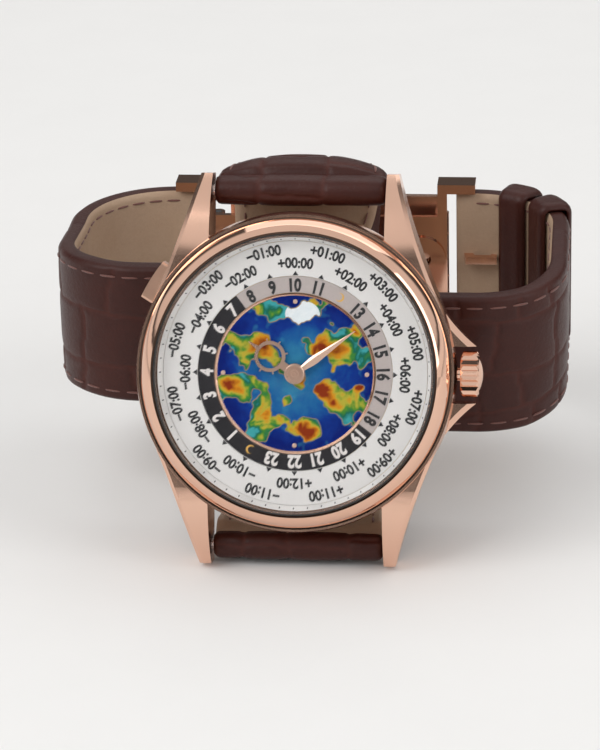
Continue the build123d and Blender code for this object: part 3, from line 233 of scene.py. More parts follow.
def pearled_plate():
    """Plate with overlapping round grain."""
    mat, tree, shader = material("pearled_plate")
    cells = put(tree, "ShaderNodeTexVoronoi",
                [("Vector", object_coords(tree)), ("Scale", 900), ("Randomness", 0.3)]).outputs["Distance"]
    colour = ramp(tree, cells, [(0.0, (0.55, 0.55, 0.57)), (0.6, (0.70, 0.70, 0.72))])
    join(tree, shader, [("Metallic", 1.0), ("Base Color", colour), ("Roughness", 0.3)])
    bump(tree, shader, cells, 0.4, 0.00003)
    return mat


def glass(name, alpha):
    """Clear crystal that lets most of what lies behind it through."""
    mat, tree, shader = material(name)
    haze = calc(tree, "MULTIPLY", noise(tree, 300, 2), 0.015)
    join(tree, shader, [("Base Color", (0.98, 0.99, 1.0, 1)), ("Transmission Weight", 1.0), ("IOR", 1.5),
                        ("Specular IOR Level", 0.2), ("Alpha", alpha), ("Roughness", haze)])
    mat.surface_render_method = "BLENDED"
    return mat


def ruby():
    """Polished red jewel."""
    mat, tree, shader = material("ruby")
    depth = noise(tree, 1500, 2)
    colour = blend_colour(tree, depth, (0.55, 0.01, 0.10), (0.75, 0.03, 0.20))
    join(tree, shader, [("Base Color", colour), ("Roughness", 0.05), ("Coat Weight", 1.0)])
    return mat


def rubber():
    """Black seal rubber."""
    mat, tree, shader = material("seal_rubber")
    grain = noise(tree, 3000, 3)
    colour = ramp(tree, grain, [(0.3, (0.012, 0.012, 0.012)), (0.7, (0.03, 0.03, 0.03))])
    join(tree, shader, [("Base Color", colour), ("Roughness", 0.6)])
    bump(tree, shader, grain, 0.3, 0.00003)
    return mat


def minute_marks(tree):
    """1 inside the round minute marks of the sloping ring, 0 elsewhere."""
    u, v = dial_coords(tree)
    minute = calc(tree, "MULTIPLY", calc(tree, "ARCTAN2", u, v), MINUTES / (2 * math.pi))
    part = calc(tree, "SUBTRACT", calc(tree, "FRACT", calc(tree, "ADD", minute, MINUTES + 0.5)), 0.5)
    along = calc(tree, "MULTIPLY", part, 2 * math.pi * MARK_RING * MM / MINUTES)
    out = calc(tree, "SUBTRACT", hypot(tree, u, v), MARK_RING * MM)
    return calc(tree, "LESS_THAN", hypot(tree, along, out), MARK_R * MM)


def silvered(name, marked):
    """Silvered opaline plate with a fine grain, marked with the minutes or plain."""
    mat, tree, shader = material(name)
    fine = noise(tree, 6000, 3, 0.6)
    wide = noise(tree, 120, 2)
    white = blend_colour(tree, wide, (0.74, 0.72, 0.70), (0.80, 0.78, 0.765))
    colour = blend_colour(tree, calc(tree, "MULTIPLY", fine, 0.3), white, (0.88, 0.87, 0.86))
    if marked:
        colour = blend_colour(tree, minute_marks(tree), colour, (0.05, 0.05, 0.055))
    join(tree, shader, [("Base Color", colour), ("Metallic", 0.25), ("Roughness", 0.42)])
    bump(tree, shader, fine, 0.12, 0.00001)
    return mat


def day_ring_paint():
    """Twenty-four hour ring: a light half for the day and a dark half for the night."""
    mat, tree, shader = material("day_ring_paint")
    u, v = dial_coords(tree)
    bearing = calc(tree, "MULTIPLY", calc(tree, "ARCTAN2", u, v), 180 / math.pi)
    day = calc(tree, "MULTIPLY", calc(tree, "GREATER_THAN", bearing, DAY_FROM),
               calc(tree, "LESS_THAN", bearing, DAY_TO))
    fine = noise(tree, 5000, 3)
    light = blend_colour(tree, fine, (0.45, 0.39, 0.37), (0.55, 0.485, 0.465))
    dark = blend_colour(tree, fine, (0.012, 0.011, 0.014), (0.026, 0.024, 0.028))
    colour = blend_colour(tree, day, dark, light)
    join(tree, shader, [("Base Color", colour), ("Roughness", 0.38), ("Metallic", 0.2)])
    bump(tree, shader, fine, 0.1, 0.00001)
    return mat


# Enamel colours by depth of the sea and by height of the ground, and where the deep sea is reached, in mm
SEA = [(0.12, (0.030, 0.20, 0.36)), (0.42, (0.012, 0.105, 0.31)), (0.68, (0.004, 0.032, 0.24)),
       (0.95, (0.002, 0.012, 0.15))]
GROUND = [(0.23, (0.05, 0.34, 0.36)), (0.27, (0.008, 0.12, 0.08)), (0.31, (0.06, 0.24, 0.03)),
          (0.345, (0.45, 0.40, 0.045)), (0.39, (0.62, 0.24, 0.014)), (0.44, (0.24, 0.03, 0.006))]
DEEP_R = 9.7


def sea_colour(tree, land):
    """Cloudy blue that deepens away from the middle, paler in the shallows along the shores."""
    u, v = dial_coords(tree)
    clouds = noise(tree, 260, 5, 0.6, 0.4)
    share = calc(tree, "DIVIDE", hypot(tree, u, v), DEEP_R * MM)
    deep = calc(tree, "ADD", share, calc(tree, "MULTIPLY", calc(tree, "SUBTRACT", clouds, 0.5), 1.1))
    near_shore = calc(tree, "SUBTRACT", 1.0, calc(tree, "MULTIPLY", land, -4.5), clamp=True)
    shallow = calc(tree, "MULTIPLY", near_shore, 0.35)
    return blend_colour(tree, shallow, ramp(tree, deep, SEA), (0.05, 0.30, 0.42))


def ground_colour(tree, fine, land, ice):
    """Green shores, yellow and red-brown heights in patches, and white ice."""
    patches = noise(tree, 230, 3, 0.5, 0.8)
    level = calc(tree, "MULTIPLY_ADD", calc(tree, "SUBTRACT", fine, 0.5), 0.06,
                 calc(tree, "MULTIPLY", patches, 0.6))
    level = calc(tree, "MULTIPLY_ADD", land, 0.11, level)
    snow = blend_colour(tree, fine, (0.60, 0.70, 0.74), (0.92, 0.93, 0.94))
    return blend_colour(tree, calc(tree, "GREATER_THAN", ice, 0.45), ramp(tree, level, GROUND), snow)


def map_enamel():
    """Fired enamel, sea or land by the height stored at the mesh's points."""
    mat, tree, shader = material("map_enamel")
    land, ice = attribute(tree, "land"), attribute(tree, "ice")
    fine = noise(tree, 1700, 4, 0.7)
    colour = blend_colour(tree, calc(tree, "GREATER_THAN", land, 0.0), sea_colour(tree, land),
                          ground_colour(tree, fine, land, ice))
    join(tree, shader, [("Base Color", colour), ("Roughness", 0.18), ("Specular IOR Level", 0.3),
                        ("Coat Weight", 0.25), ("Coat Roughness", 0.05)])
    bump(tree, shader, fine, 0.1, 0.00004)
    return mat


def ink(name, colour, rough=0.5):
    """Printed lacquer, slightly uneven."""
    mat, tree, shader = material(name)
    fine = noise(tree, 4000, 3)
    uneven = blend_colour(tree, fine, [c * 0.8 for c in colour], [min(1, c * 1.15) for c in colour])
    join(tree, shader, [("Base Color", uneven), ("Roughness", rough)])
    bump(tree, shader, fine, 0.1, 0.00001)
    return mat


def leather(name, dark, light, seam, grain_scale=1500, gloss=0.37):
    """Scaled leather: colour from broad patches and the scale seams, fine creases and pores as bump."""
    mat, tree, shader = material(name)
    broad = noise(tree, 170, 4, 0.6)
    pores = put(tree, "ShaderNodeTexVoronoi", [("Vector", object_coords(tree)), ("Scale", grain_scale * 1.6)])
    crease = noise(tree, grain_scale, 6, 0.7, 0.8)
    groove = attribute(tree, "seam")
    skin = blend_colour(tree, broad, dark, light)
    skin = blend_colour(tree, calc(tree, "MULTIPLY", crease, 0.35), skin, [c * 0.45 for c in dark])
    wear = calc(tree, "MULTIPLY_ADD", crease, 0.22, gloss - 0.08)
    join(tree, shader, [("Base Color", blend_colour(tree, groove, skin, seam)), ("Specular IOR Level", 0.26),
                        ("Roughness", calc(tree, "MULTIPLY_ADD", groove, 0.2, wear))])
    height = calc(tree, "MULTIPLY_ADD", pores.outputs["Distance"], -0.35, crease)
    bump(tree, shader, height, 0.5, 0.00011)
    return mat


def thread(name, colour):
    """Twisted thread."""
    mat, tree, shader = material(name)
    wave = put(tree, "ShaderNodeTexWave",
               [("Vector", object_coords(tree)), ("Scale", 2400), ("Distortion", 2.0)],
               bands_direction="DIAGONAL").outputs["Fac"]
    twist = blend_colour(tree, wave, [c * 0.65 for c in colour], colour)
    join(tree, shader, [("Base Color", twist), ("Roughness", 0.6), ("Sheen Weight", 0.3)])
    bump(tree, shader, wave, 0.5, 0.00006)
    return mat


crystal_glass = glass("crystal_glass", 0.12)
back_glass = glass("back_glass", 0.15)
leather_mat = leather("scaled_leather", (0.030, 0.0062, 0.0042), (0.066, 0.0145, 0.0092),
                      (0.064, 0.016, 0.011))
lining_mat = leather("lining_leather", (0.42, 0.285, 0.19), (0.52, 0.375, 0.265), (0.3, 0.2, 0.13),
                     2400, 0.55)
edge_mat = leather("edge_leather", (0.035, 0.010, 0.008), (0.07, 0.020, 0.015), (0.1, 0.03, 0.02),
                   2400, 0.45)
thread_mat = thread("strap_thread", (0.17, 0.058, 0.043))
black_ink = ink("black_ink", (0.018, 0.018, 0.02))
pale_ink = ink("pale_ink", (0.74, 0.70, 0.68))
crescent_gold = ink("crescent_paint", (0.72, 0.42, 0.10), 0.35)
sea_mat = map_enamel()

# The finish of each node of the model; those not named are gilt
FINISHES = [
    (case_gold, "case_middle"), (rose_satin, "pusher"), (rose_brushed, "clasp_cover"),
    (rose_gold, "bezel crown crown_tube case_back_ring map_rim micro_rotor"),
    (rose_gold, "clasp_bow clasp_blade clasp_bars buckle_tongue"),
    (hand_gold, "hour_hand minute_hand hand_cap"), (pip_gold, "dial_pips"), (steel, "movement_ring"),
    (bright_steel, "bridge_screws escape_wheel pallet_fork hairspring cannon_pinion winding_stem"),
    (bright_steel, "pusher_tube spring_bar_upper spring_bar_lower blade_pin cover_pin"),
    (striped_plate(), "train_bridge barrel_bridge balance_cock"), (pearled_plate(), "main_plate"),
    (crystal_glass, "crystal"), (back_glass, "case_back_crystal"), (ruby(), "jewels"),
    (silvered("minute_slope", True), "rehaut_ring"), (silvered("place_ring_silver", False), "city_ring"),
    (day_ring_paint(), "hour_ring"), (sea_mat, "map_dial"),
    (rubber(), "crystal_gasket case_back_gasket crown_gasket")]
finish_of = {name: finish for finish, names in FINISHES for name in names.split()}
for name, node in nodes.items():
    node.data.materials.clear()
    node.data.materials.append(finish_of.get(name, gilt))

# The metal's sharp edges are eased by these widths, in mm
EASED = {"case_middle": 0.22, "pusher": 0.2, "crown": 0.08, "clasp_bow": 0.45, "clasp_blade": 0.2,
         "clasp_cover": 0.25, "clasp_bars": 0.3, "buckle_tongue": 0.15, "hour_hand": 0.04,
         "micro_rotor": 0.08, "train_bridge": 0.1, "barrel_bridge": 0.1, "balance_cock": 0.1,
         "bridge_screws": 0.04}
for name, width in EASED.items():
    ease = nodes[name].modifiers.new("eased_edges", "BEVEL")
    ease.width = width * MM
    ease.segments = 3
    ease.limit_method = "ANGLE"
    ease.angle_limit = math.radians(35)


# Mesh helpers
def new_object(name, data):
    """A new object in the scene."""
    obj = bpy.data.objects.new(name, data)
    bpy.context.scene.collection.objects.link(obj)
    return obj


def piece(name, body, replaced, points, faces, mats, face_mats=None, smooth=True, attributes=None):
    """A mesh from points in mm with a material for each face, on its body. It stands for the
    nodes named in replaced."""
    mesh = bpy.data.meshes.new(name)
    mesh.from_pydata((np.asarray(points) * MM).tolist(), [], [list(f) for f in faces])
    for mat in mats:
        mesh.materials.append(mat)
    if face_mats is not None:
        mesh.polygons.foreach_set("material_index", face_mats)
    mesh.polygons.foreach_set("use_smooth", [smooth] * len(mesh.polygons))
    for key, values in (attributes or {}).items():
        layer = mesh.attributes.new(key, "FLOAT", "POINT")
        layer.data.foreach_set("value", np.asarray(values, dtype=np.float32))
    mesh.update()
    obj = new_object(name, mesh)
    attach(obj, body)
    if replaced:
        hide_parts(*replaced)


def grid_faces(rows, count, rows_close=False, points_close=True):
    """Four-cornered faces between rows of count points: rows_close joins the last row to the first, and
    points_close the last point of each row to its first."""
    faces = []
    for i in range(rows if rows_close else rows - 1):
        a, b = i * count, (i + 1) % rows * count
        for k in range(count if points_close else count - 1):
            n = (k + 1) % count
            faces.append((a + k, a + n, b + n, b + k))
    return faces


def shifted(faces, base):
    """Faces with their point numbers moved up by base."""
    return [tuple(base + i for i in face) for face in faces]


def lathe(profile, turns):
    """Points and faces of a closed (radius, level) profile turned round the dial's axis."""
    angles = [2 * math.pi * k / turns for k in range(turns)]
    points = [(r * math.sin(a), r * math.cos(a), level) for r, level in profile for a in angles]
    return points, grid_faces(len(profile), turns, True)


# The strap's route
def run_length(reach, turn):
    """Length of one run of a path: a straight reach with no turn, or a bend's radius and its degrees."""
    return reach if turn == 0 else reach * abs(math.radians(turn))


def follow(start, heading, runs, s):
    """Middle line of a path in a plane at distances s: points, and the unit normal to its left."""
    s = np.asarray(s, float)
    x, y = np.zeros_like(s), np.zeros_like(s)
    nx, ny = np.zeros_like(s), np.zeros_like(s)
    px, py = start
    angle = math.radians(heading)
    at = 0.0
    for index, (reach, turn) in enumerate(runs):
        length = run_length(reach, turn)
        inside = ((s >= at) | (index == 0)) & ((s < at + length) | (index == len(runs) - 1))
        d = s[inside] - at
        if turn == 0:
            x[inside], y[inside] = px + d * math.cos(angle), py + d * math.sin(angle)
            nx[inside], ny[inside] = -math.sin(angle), math.cos(angle)
            px, py = px + reach * math.cos(angle), py + reach * math.sin(angle)
        else:
            bend = reach if turn > 0 else -reach
            cx, cy = px - math.sin(angle) * bend, py + math.cos(angle) * bend
            now = angle + d / bend
            x[inside], y[inside] = cx + np.sin(now) * bend, cy - np.cos(now) * bend
            nx[inside], ny[inside] = -np.sin(now), np.cos(now)
            angle += math.radians(turn)
            px, py = cx + math.sin(angle) * bend, cy - math.cos(angle) * bend
        at += length
    return x, y, nx, ny


def bar_point(half):
    """Middle of the spring bar of a strap half."""
    return head_point(0.0, half * BAR_REACH, BAR_LEVEL)


def lug_path(half):
    """The path in Y and Z from the bar towards the fold, and the side its outer face is on."""
    bar = bar_point(half)
    if half == UPPER:
        rise = math.radians(ARCH_RISE)
        run = (BACK_Y - bar[1] - ARCH_BEND * (1 + math.sin(rise))) / math.cos(rise)
        return bar[1:], ARCH_RISE, [(run, 0), (ARCH_BEND, -90 - ARCH_RISE), (bar[2] - FOLD_Z, 0)], 1
    slope = math.radians(FOOT_SLOPE)
    run = (bar[2] - HALF_THICK - FOOT_BEND * (1 - math.cos(slope))) / math.sin(slope)
    flat = BACK_Y - FOOT_RISE - bar[1] - run * math.cos(slope) - FOOT_BEND * math.sin(slope)
    runs = [(run, 0), (FOOT_BEND, FOOT_SLOPE), (flat, 0), (FOOT_RISE, 90), (FOLD_Z, 0)]
    return bar[1:], -FOOT_SLOPE, runs, -1


def before_fold(runs):
    """Length of a lug path up to its last run, where the fold lies."""
    return sum(run_length(reach, turn) for reach, turn in runs[:-1])


def side_point(half, u, z_flat, n):
    """Points round the side of the loop: u along it from the middle, n out of its middle line."""
    runs = [(LOOP_HALF - FRONT_BEND, 0), (FRONT_BEND, -half * 90), (SIDE_RUN, 0), (BACK_BEND, -half * 90),
            (BACK_STRAIGHT - STRAP_END_X, 0)]
    x, y, nx, ny = follow((0, FRONT_Y), 90 + half * 90, runs, u)
    low, high = FRONT_Y + FRONT_LEVEL_RUN, CLASP_Y - CLASP_LEVEL_RUN
    share = np.clip((y - low) / (high - low), 0, 1)
    front_z = FOLD_Z + half * FOLD_SHIFT
    middle = front_z + (CLASP_Z - front_z) * share
    width = FOLD_W + (CLASP_W - FOLD_W) * share
    z = middle + (z_flat - front_z) * width / FOLD_W
    return np.stack([x + nx * n * half, y + ny * n * half, z], -1)


def strap_length(half):
    """Length of the middle line from the bar to the clasp end."""
    start, heading, runs, _ = lug_path(half)
    before = before_fold(runs)
    z_start = follow(start, heading, runs, np.array([before]))[1][0]
    to_crease = half * (z_start - FOLD_Z - half * FOLD_RISE)
    return before + to_crease + math.pi * FOLD_R / math.sqrt(2) + BACK_BEND_END + BACK_STRAIGHT - STRAP_END_X


def strap_point(half, s, f, n):
    """Points of a strap half: s along it, f from -1 to 1 across it, n out of its middle surface."""
    s, f, n = (np.asarray(a, float) for a in np.broadcast_arrays(s, f, n))
    start, heading, runs, side = lug_path(half)
    y, z, ny, nz = follow(start, heading, runs, s)
    taper = bar_point(half)[1] + TAPER_START
    share = np.clip((y - taper) / (BACK_Y - HALF_THICK - taper), 0, 1)
    x = f * (STRAP_W + (FOLD_W - STRAP_W) * share) / 2
    points = np.stack([x, y + ny * n * side, z + nz * n * side], -1)

    # The fold rolls what lies past the crease, a slanting line, round a cylinder
    crease = np.array([half, 0, -half]) / math.sqrt(2)
    past = (FOLD_Z + half * FOLD_RISE - (z - x)) * half / math.sqrt(2)
    past = np.where(s >= before_fold(runs), past, -1.0)
    theta = np.clip(past / FOLD_R, 0, math.pi)
    foot_x, foot_z = x - past * crease[0], z - past * crease[2]
    reach = (FOLD_R + n) * np.sin(theta)
    fold = np.stack([foot_x + reach * crease[0], (FRONT_Y + BACK_Y) / 2 + (FOLD_R + n) * np.cos(theta),
                     foot_z + reach * crease[2]], -1)
    points = np.where((past > 0)[..., None], fold, points)

    # What has left the cylinder runs round the side of the loop
    beyond = past - math.pi * FOLD_R
    flat_x, flat_z = foot_x - beyond * crease[0], foot_z - beyond * crease[2]
    looped = side_point(half, -half * flat_x, flat_z, n)
    return np.where((beyond > 0)[..., None], looped, points)


# Scale pattern of the leather
LONGEST_HALF = 130


def scale_seams(half, s, v, seed):
    """Distance in mm from each place to the nearest seam between scales."""
    rng = np.random.RandomState(seed)
    wob = rng.uniform(0, 2 * math.pi, 12)
    columns = [-5.6, 3.2] if half == UPPER else [-1.6, 6.6]
    edges = [base + 0.35 * np.sin(s / 8.3 + wob[i]) + 0.16 * np.sin(s / 2.7 + wob[i + 2])
             for i, base in enumerate(columns)]
    if half == LOWER:
        edges.insert(0, -7.2 + 0.5 * np.sin(s / 7.0 + wob[5]))
    distance = np.min([np.abs(v - edge) for edge in edges], axis=0)
    bounds = [np.full(s.shape, -np.inf)] + edges + [np.full(s.shape, np.inf)]
    for column in range(len(bounds) - 1):
        inside = (v >= bounds[column]) & (v < bounds[column + 1])
        wide = column == 2 or (column == 1 and half == UPPER)
        place = rng.uniform(-6, -2)
        while place < LONGEST_HALF:
            tilt, bow = rng.uniform(-0.07, 0.07), rng.uniform(-0.012, 0.012)
            line = place + tilt * v + bow * v * v + 0.14 * np.sin(v / 1.1 + rng.uniform(0, 6))
            distance = np.where(inside, np.minimum(distance, np.abs(s - line)), distance)
            place += rng.uniform(7.4, 9.6) if wide else rng.uniform(4.8, 6.6)
    return distance


def surface_height(half, s, f, seed):
    """Height of the scaled face over its plain surface, and how much each place is seam."""
    v = f * STRAP_W / 2
    warp = 0.20 * np.sin(s * 1.9 + v * 0.7 + seed) + 0.14 * np.sin(v * 2.3 - s * 0.9)
    d = scale_seams(half, s + warp * 0.5, v + warp * 0.4, seed)
    seam = np.exp(-(d / 0.24) ** 2)
    dome = 1 - np.exp(-d / 1.1)
    return 0.12 * dome - 0.17 * seam, seam


def face_level(s, f):
    """Height of the outer face over the middle: thick at the bar, padded beside it, thin at the edges."""
    roll = (ROLL - HALF_THICK) * np.exp(-(s / 1.25) ** 2)
    crease = 0.85 * np.exp(-((s - 2.35) / 0.42) ** 2)
    padding = 0.16 + 0.55 / (1 + np.exp((s - 17.0) / 2.5)) / (1 + np.exp((3.0 - s) / 0.3))
    edge_drop = np.clip((np.abs(f) - 0.95) / 0.05, 0, 1)
    return HALF_THICK - 0.02 + roll - crease - padding * np.abs(f) ** 2.6 - 0.38 * edge_drop ** 2


def bow_of(s, f):
    """How far the strap's section sinks towards its edges where it is pulled over beside the bar."""
    return -1.15 * np.abs(f) ** 2.3 / (1 + np.exp((2.6 - s) / 0.22)) / (1 + np.exp((s - 11.0) / 1.6))


# Points across the leather's face, down an edge and across the lining, and steps along and round the bar
TOP_COUNT, EDGE_COUNT, BOTTOM_COUNT = 61, 4, 21
ROW_STEP, NOSE_STEP = 0.36, 7.5
F_TOP, F_BOTTOM = np.linspace(-1, 1, TOP_COUNT), np.linspace(1, -1, BOTTOM_COUNT)


def strap_section(half, s, pattern_s, low, seed):
    """Places across the strap, their heights over its middle surface and how much each is seam."""
    edge_drop = np.clip((np.abs(F_TOP) - 0.93) / 0.07, 0, 1)
    height, seam = surface_height(half, np.full(TOP_COUNT, pattern_s), F_TOP, seed)
    top = face_level(s, F_TOP) - 0.08 + height * (1 - edge_drop)
    bottom = low + np.clip((np.abs(F_BOTTOM) - 0.95) / 0.05, 0, 1) ** 2 * 0.3
    edge_n = np.linspace(top[-1], bottom[0], EDGE_COUNT + 2)[1:-1]
    edge_f = 1 + 0.006 * np.sin(np.linspace(0, math.pi, EDGE_COUNT + 2)[1:-1])
    ring_f = np.concatenate([F_TOP, edge_f, F_BOTTOM, -edge_f])
    ring_n = np.concatenate([top, edge_n, bottom, edge_n[::-1]])
    return ring_f, ring_n, np.concatenate([seam * (1 - edge_drop), np.zeros(len(ring_f) - TOP_COUNT)])


def nose_points(half, angle, ring_f, ring_n):
    """Points of a section that is turned back about the spring bar by an angle in radians."""
    _, heading, _, side = lug_path(half)
    turn = math.radians(heading)
    tangent = np.array([0, math.cos(turn), math.sin(turn)])
    normal = np.array([0, -math.sin(turn), math.cos(turn)]) * side
    out = normal * math.cos(angle) + tangent * math.sin(angle)
    return bar_point(half) + ring_f[:, None] * STRAP_W / 2 * XH + ring_n[:, None] * out


def strap_kinds(count, rows):
    """Which material each face of a strap half has: 0 face, 1 lining, 2 edge or end."""
    lining = range(TOP_COUNT + EDGE_COUNT, TOP_COUNT + EDGE_COUNT + BOTTOM_COUNT - 1)
    row = [0 if k < TOP_COUNT - 1 else (1 if k in lining else 2) for k in range(count)]
    return row * (rows - 1) + [2, 2]


def strap_half(half, name, nodes_for, seed):
    """One strap half as a closed skin: scaled face, rolled edges and lining."""
    length = strap_length(half)
    rows, seams = [], []
    for angle in np.radians(np.arange(-180, 0, NOSE_STEP)):
        ring_f, ring_n, seam = strap_section(half, 0.0, ROLL * angle, 0.0, seed)
        rows.append(nose_points(half, angle, ring_f, ring_n))
        seams.append(seam)
    for s in np.arange(0, length + 0.001, length / round(length / ROW_STEP)):
        low = -HALF_THICK * min(1.0, 0.35 + s / 2.0)
        ring_f, ring_n, seam = strap_section(half, s, s, low, seed)
        rows.append(strap_point(half, np.full(len(ring_f), s), ring_f, ring_n + bow_of(s, ring_f)))
        seams.append(seam)
    count = len(rows[0])
    faces = grid_faces(len(rows), count)
    last = (len(rows) - 1) * count
    faces += [tuple(range(count)), tuple(range(last + count - 1, last - 1, -1))]
    piece(name, "case", nodes_for, np.concatenate(rows), faces,
          [leather_mat, lining_mat, edge_mat], strap_kinds(count, len(rows)), True,
          {"seam": np.concatenate(seams)})
    return length


def capsule(count, around):
    """A unit capsule: distance along from -1 to 1, and its round section."""
    along = np.sin(np.linspace(-math.pi / 2, math.pi / 2, count))
    width = np.sqrt(np.clip(1 - along ** 4, 0.0, 1))
    angles = [2 * math.pi * k / around for k in range(around)]
    points = [(a, w * math.cos(t), w * math.sin(t)) for a, w in zip(along, width) for t in angles]
    return np.array(points), grid_faces(count, around)


# Stitches in mm: half a stitch's length and its radius, one to the next, the ends left bare, and the
# seam's place across the strap as a share of its half width
CAPSULE, CAPSULE_FACES = capsule(7, 8)
STITCH_HALF, STITCH_R, STITCH_PITCH, STITCH_F = 1.02, 0.17, 2.75, 0.855
STITCH_START, STITCH_END = 4.4, 2.6


def stitches(half, length, name):
    """Both rows of stitches of a strap half, on the face and on the lining."""
    local = CAPSULE * np.array([STITCH_HALF, STITCH_R, STITCH_R])
    points, faces = [], []
    for face in (1, -1):
        for side in (-1, 1):
            s = STITCH_START
            while s < length - STITCH_END:
                f = side * STITCH_F + local[:, 1] / (STRAP_W / 2)
                level = (face_level(s, STITCH_F) if face > 0 else -HALF_THICK) - 0.02 + bow_of(s, STITCH_F)
                faces += shifted(CAPSULE_FACES, len(points) * len(CAPSULE))
                points.append(strap_point(half, s + local[:, 0], f, level + local[:, 2]))
                s += STITCH_PITCH
    piece(name, "case", (), np.concatenate(points), faces, [thread_mat])


for half, label, seed in ((UPPER, "upper", 5), (LOWER, "lower", 11)):
    length = strap_half(half, f"leather_{label}", (f"strap_{label}", f"strap_{label}_lining"), seed)
    stitches(half, length, f"stitches_{label}")

# Keepers in mm: room round the strap, half their width along it, and the corners' radius
KEEPER_ROOM, KEEPER_HALF, KEEPER_CORNER = 0.27, 2.42, 0.7


def keeper_ring():
    """A keeper's inside round the strap, as places in its section with the directions out of them."""
    z, n = CLASP_W / 2 + KEEPER_ROOM - KEEPER_CORNER, HALF_THICK + KEEPER_ROOM - KEEPER_CORNER
    corners = []
    for cz, cn, first in ((z, n, 0), (-z, n, 90), (-z, -n, 180), (z, -n, 270)):
        for degrees in range(first, first + 91, 15):
            dz, dn = math.cos(math.radians(degrees)), math.sin(math.radians(degrees))
            corners.append((cz + KEEPER_CORNER * dz, cn + KEEPER_CORNER * dn, dz, dn))
    ring = []
    for here, after in zip(corners, corners[1:] + corners[:1]):
        ring.append(here)
        gap_z, gap_n = after[0] - here[0], after[1] - here[1]
        for share in (0.25, 0.5, 0.75) if math.hypot(gap_z, gap_n) > 1 else ():
            ring.append((here[0] + gap_z * share, here[1] + gap_n * share, here[2], here[3]))
    return np.array(ring)


def keeper(name, node, body, centre):
    """A leather loop round the strap on its back bend, crowned outside and with rounded edges."""
    ring = keeper_ring()
    across = np.linspace(-1, 1, 15)
    profile = [(w, 0.0) for w in across[::2]] + \
        [(math.copysign(abs(w) ** 0.8, w), 0.28 + 0.62 * (1 - w ** 4)) for w in across[::-1]]
    front_z = FOLD_Z + LOWER * FOLD_SHIFT
    points = []
    for w, thick in profile:
        u = np.full(len(ring), BACK_BEND_END - centre + w * KEEPER_HALF)
        z = front_z + (ring[:, 0] + ring[:, 2] * thick) * FOLD_W / CLASP_W
        points.append(side_point(LOWER, u, z, ring[:, 1] + ring[:, 3] * thick))
    points = np.concatenate(points)
    piece(name, body, (node,), points, grid_faces(len(profile), len(ring), True), [leather_mat],
          None, True, {"seam": np.zeros(len(points))})


keeper("keeper_leather_fixed", "keeper_fixed", "case", 6.6)
keeper("keeper_leather_sliding", "keeper_sliding", "loose_keeper", 12.6)


# Print on the dial, in mm and degrees: a digit's height in a font of size 1, the rings' radii, the
# height of the print over the dial and the turn from one of the 24 places to the next
DIGIT_HEIGHT = 0.69
NUMERAL_RING, PLACE_RINGS, POINTER_RING = 11.0, (13.75, 15.45), 12.2
NUMERAL_HEIGHT, PLACE_HEIGHT = 1.5, 1.24
PRINT_LEVEL, HOUR_STEP = DIAL_TOP + 0.012, 15.0
TOP_HOUR = 10


def text_flat(text, height, squeeze, bold):
    """A word as flat points and faces in mm, its middle at the origin."""
    curve = bpy.data.curves.new("word", "FONT")
    curve.body = text
    curve.align_x, curve.align_y = "CENTER", "CENTER"
    curve.resolution_u = 3
    curve.offset = bold
    obj = new_object("word", curve)
    mesh = bpy.data.meshes.new_from_object(obj.evaluated_get(bpy.context.evaluated_depsgraph_get()))
    points = np.array([v.co[:] for v in mesh.vertices])
    faces = [tuple(p.vertices) for p in mesh.polygons]
    bpy.data.objects.remove(obj)
    bpy.data.curves.remove(curve)
    bpy.data.meshes.remove(mesh)
    scale = height / DIGIT_HEIGHT
    points[:, 0] -= (points[:, 0].max() + points[:, 0].min()) / 2
    points[:, 1] -= (points[:, 1].max() + points[:, 1].min()) / 2
    return points[:, :2] * np.array([scale * squeeze, scale]), faces


def ring_print(name, body, words, mats):
    """Flat print on a ring: words are (points, faces, radius, bearing, ink index)."""
    points, faces, kinds = [], [], []
    for flat, word_faces, radius, bearing, kind in words:
        angle = math.radians(bearing)
        reach, turn = flat[:, 1] + radius, flat[:, 0] / radius + angle
        spot = head_point(reach * np.sin(turn), reach * np.cos(turn), PRINT_LEVEL)
        base = sum(len(p) for p in points)
        points.append(spot)
        faces += shifted(word_faces, base)
        kinds += [kind] * len(word_faces)
    piece(name, body, (), np.concatenate(points), faces, mats, kinds, False)


def crescent():
    """A moon crescent as flat points and faces."""
    outer = [(0.56 * math.cos(t), 0.56 * math.sin(t)) for t in np.linspace(-2.2, 2.2, 19)]
    inner = [(-0.18 + 0.50 * math.cos(t), 0.47 * math.sin(t)) for t in np.linspace(2.35, -2.35, 19)]
    points = np.array(outer + inner[1:-1])
    return points, [tuple(range(len(points)))]


def hour_numerals():
    """Numerals of the 24 hour ring, dark on the day's half and pale on the night's, and two moons."""
    words = []
    for index in range(24):
        hour, bearing = (index + TOP_HOUR) % 24, index * HOUR_STEP
        if hour in (0, 12):
            flat, faces = crescent()
            ink_index = 2
        else:
            flat, faces = text_flat(str(hour), NUMERAL_HEIGHT, 0.80, 0.044)
            ink_index = 0 if DAY_FROM < (bearing + 180) % 360 - 180 < DAY_TO else 1
        words.append((flat, faces, NUMERAL_RING, bearing, ink_index))
    ring_print("hour_numerals", "day_ring", words, [black_ink, pale_ink, crescent_gold])


def place_numbers():
    """Hours ahead of or behind universal time in two staggered rows, each with its pointer."""
    pointer = np.array([(-0.36, 0.0), (0.36, 0.0), (0.0, 0.55)])
    words = []
    for index in range(24):
        bearing = index * HOUR_STEP
        label = f"+{index:02d}:00" if index <= 12 else f"−{24 - index:02d}:00"
        flat, faces = text_flat(label, PLACE_HEIGHT, 0.88, 0.036)
        words.append((flat, faces, PLACE_RINGS[index % 2], bearing, 0))
        words.append((pointer, [(0, 1, 2)], POINTER_RING, bearing, 0))
    ring_print("place_numbers", "place_ring", words, [black_ink])


hour_numerals()
place_numbers()


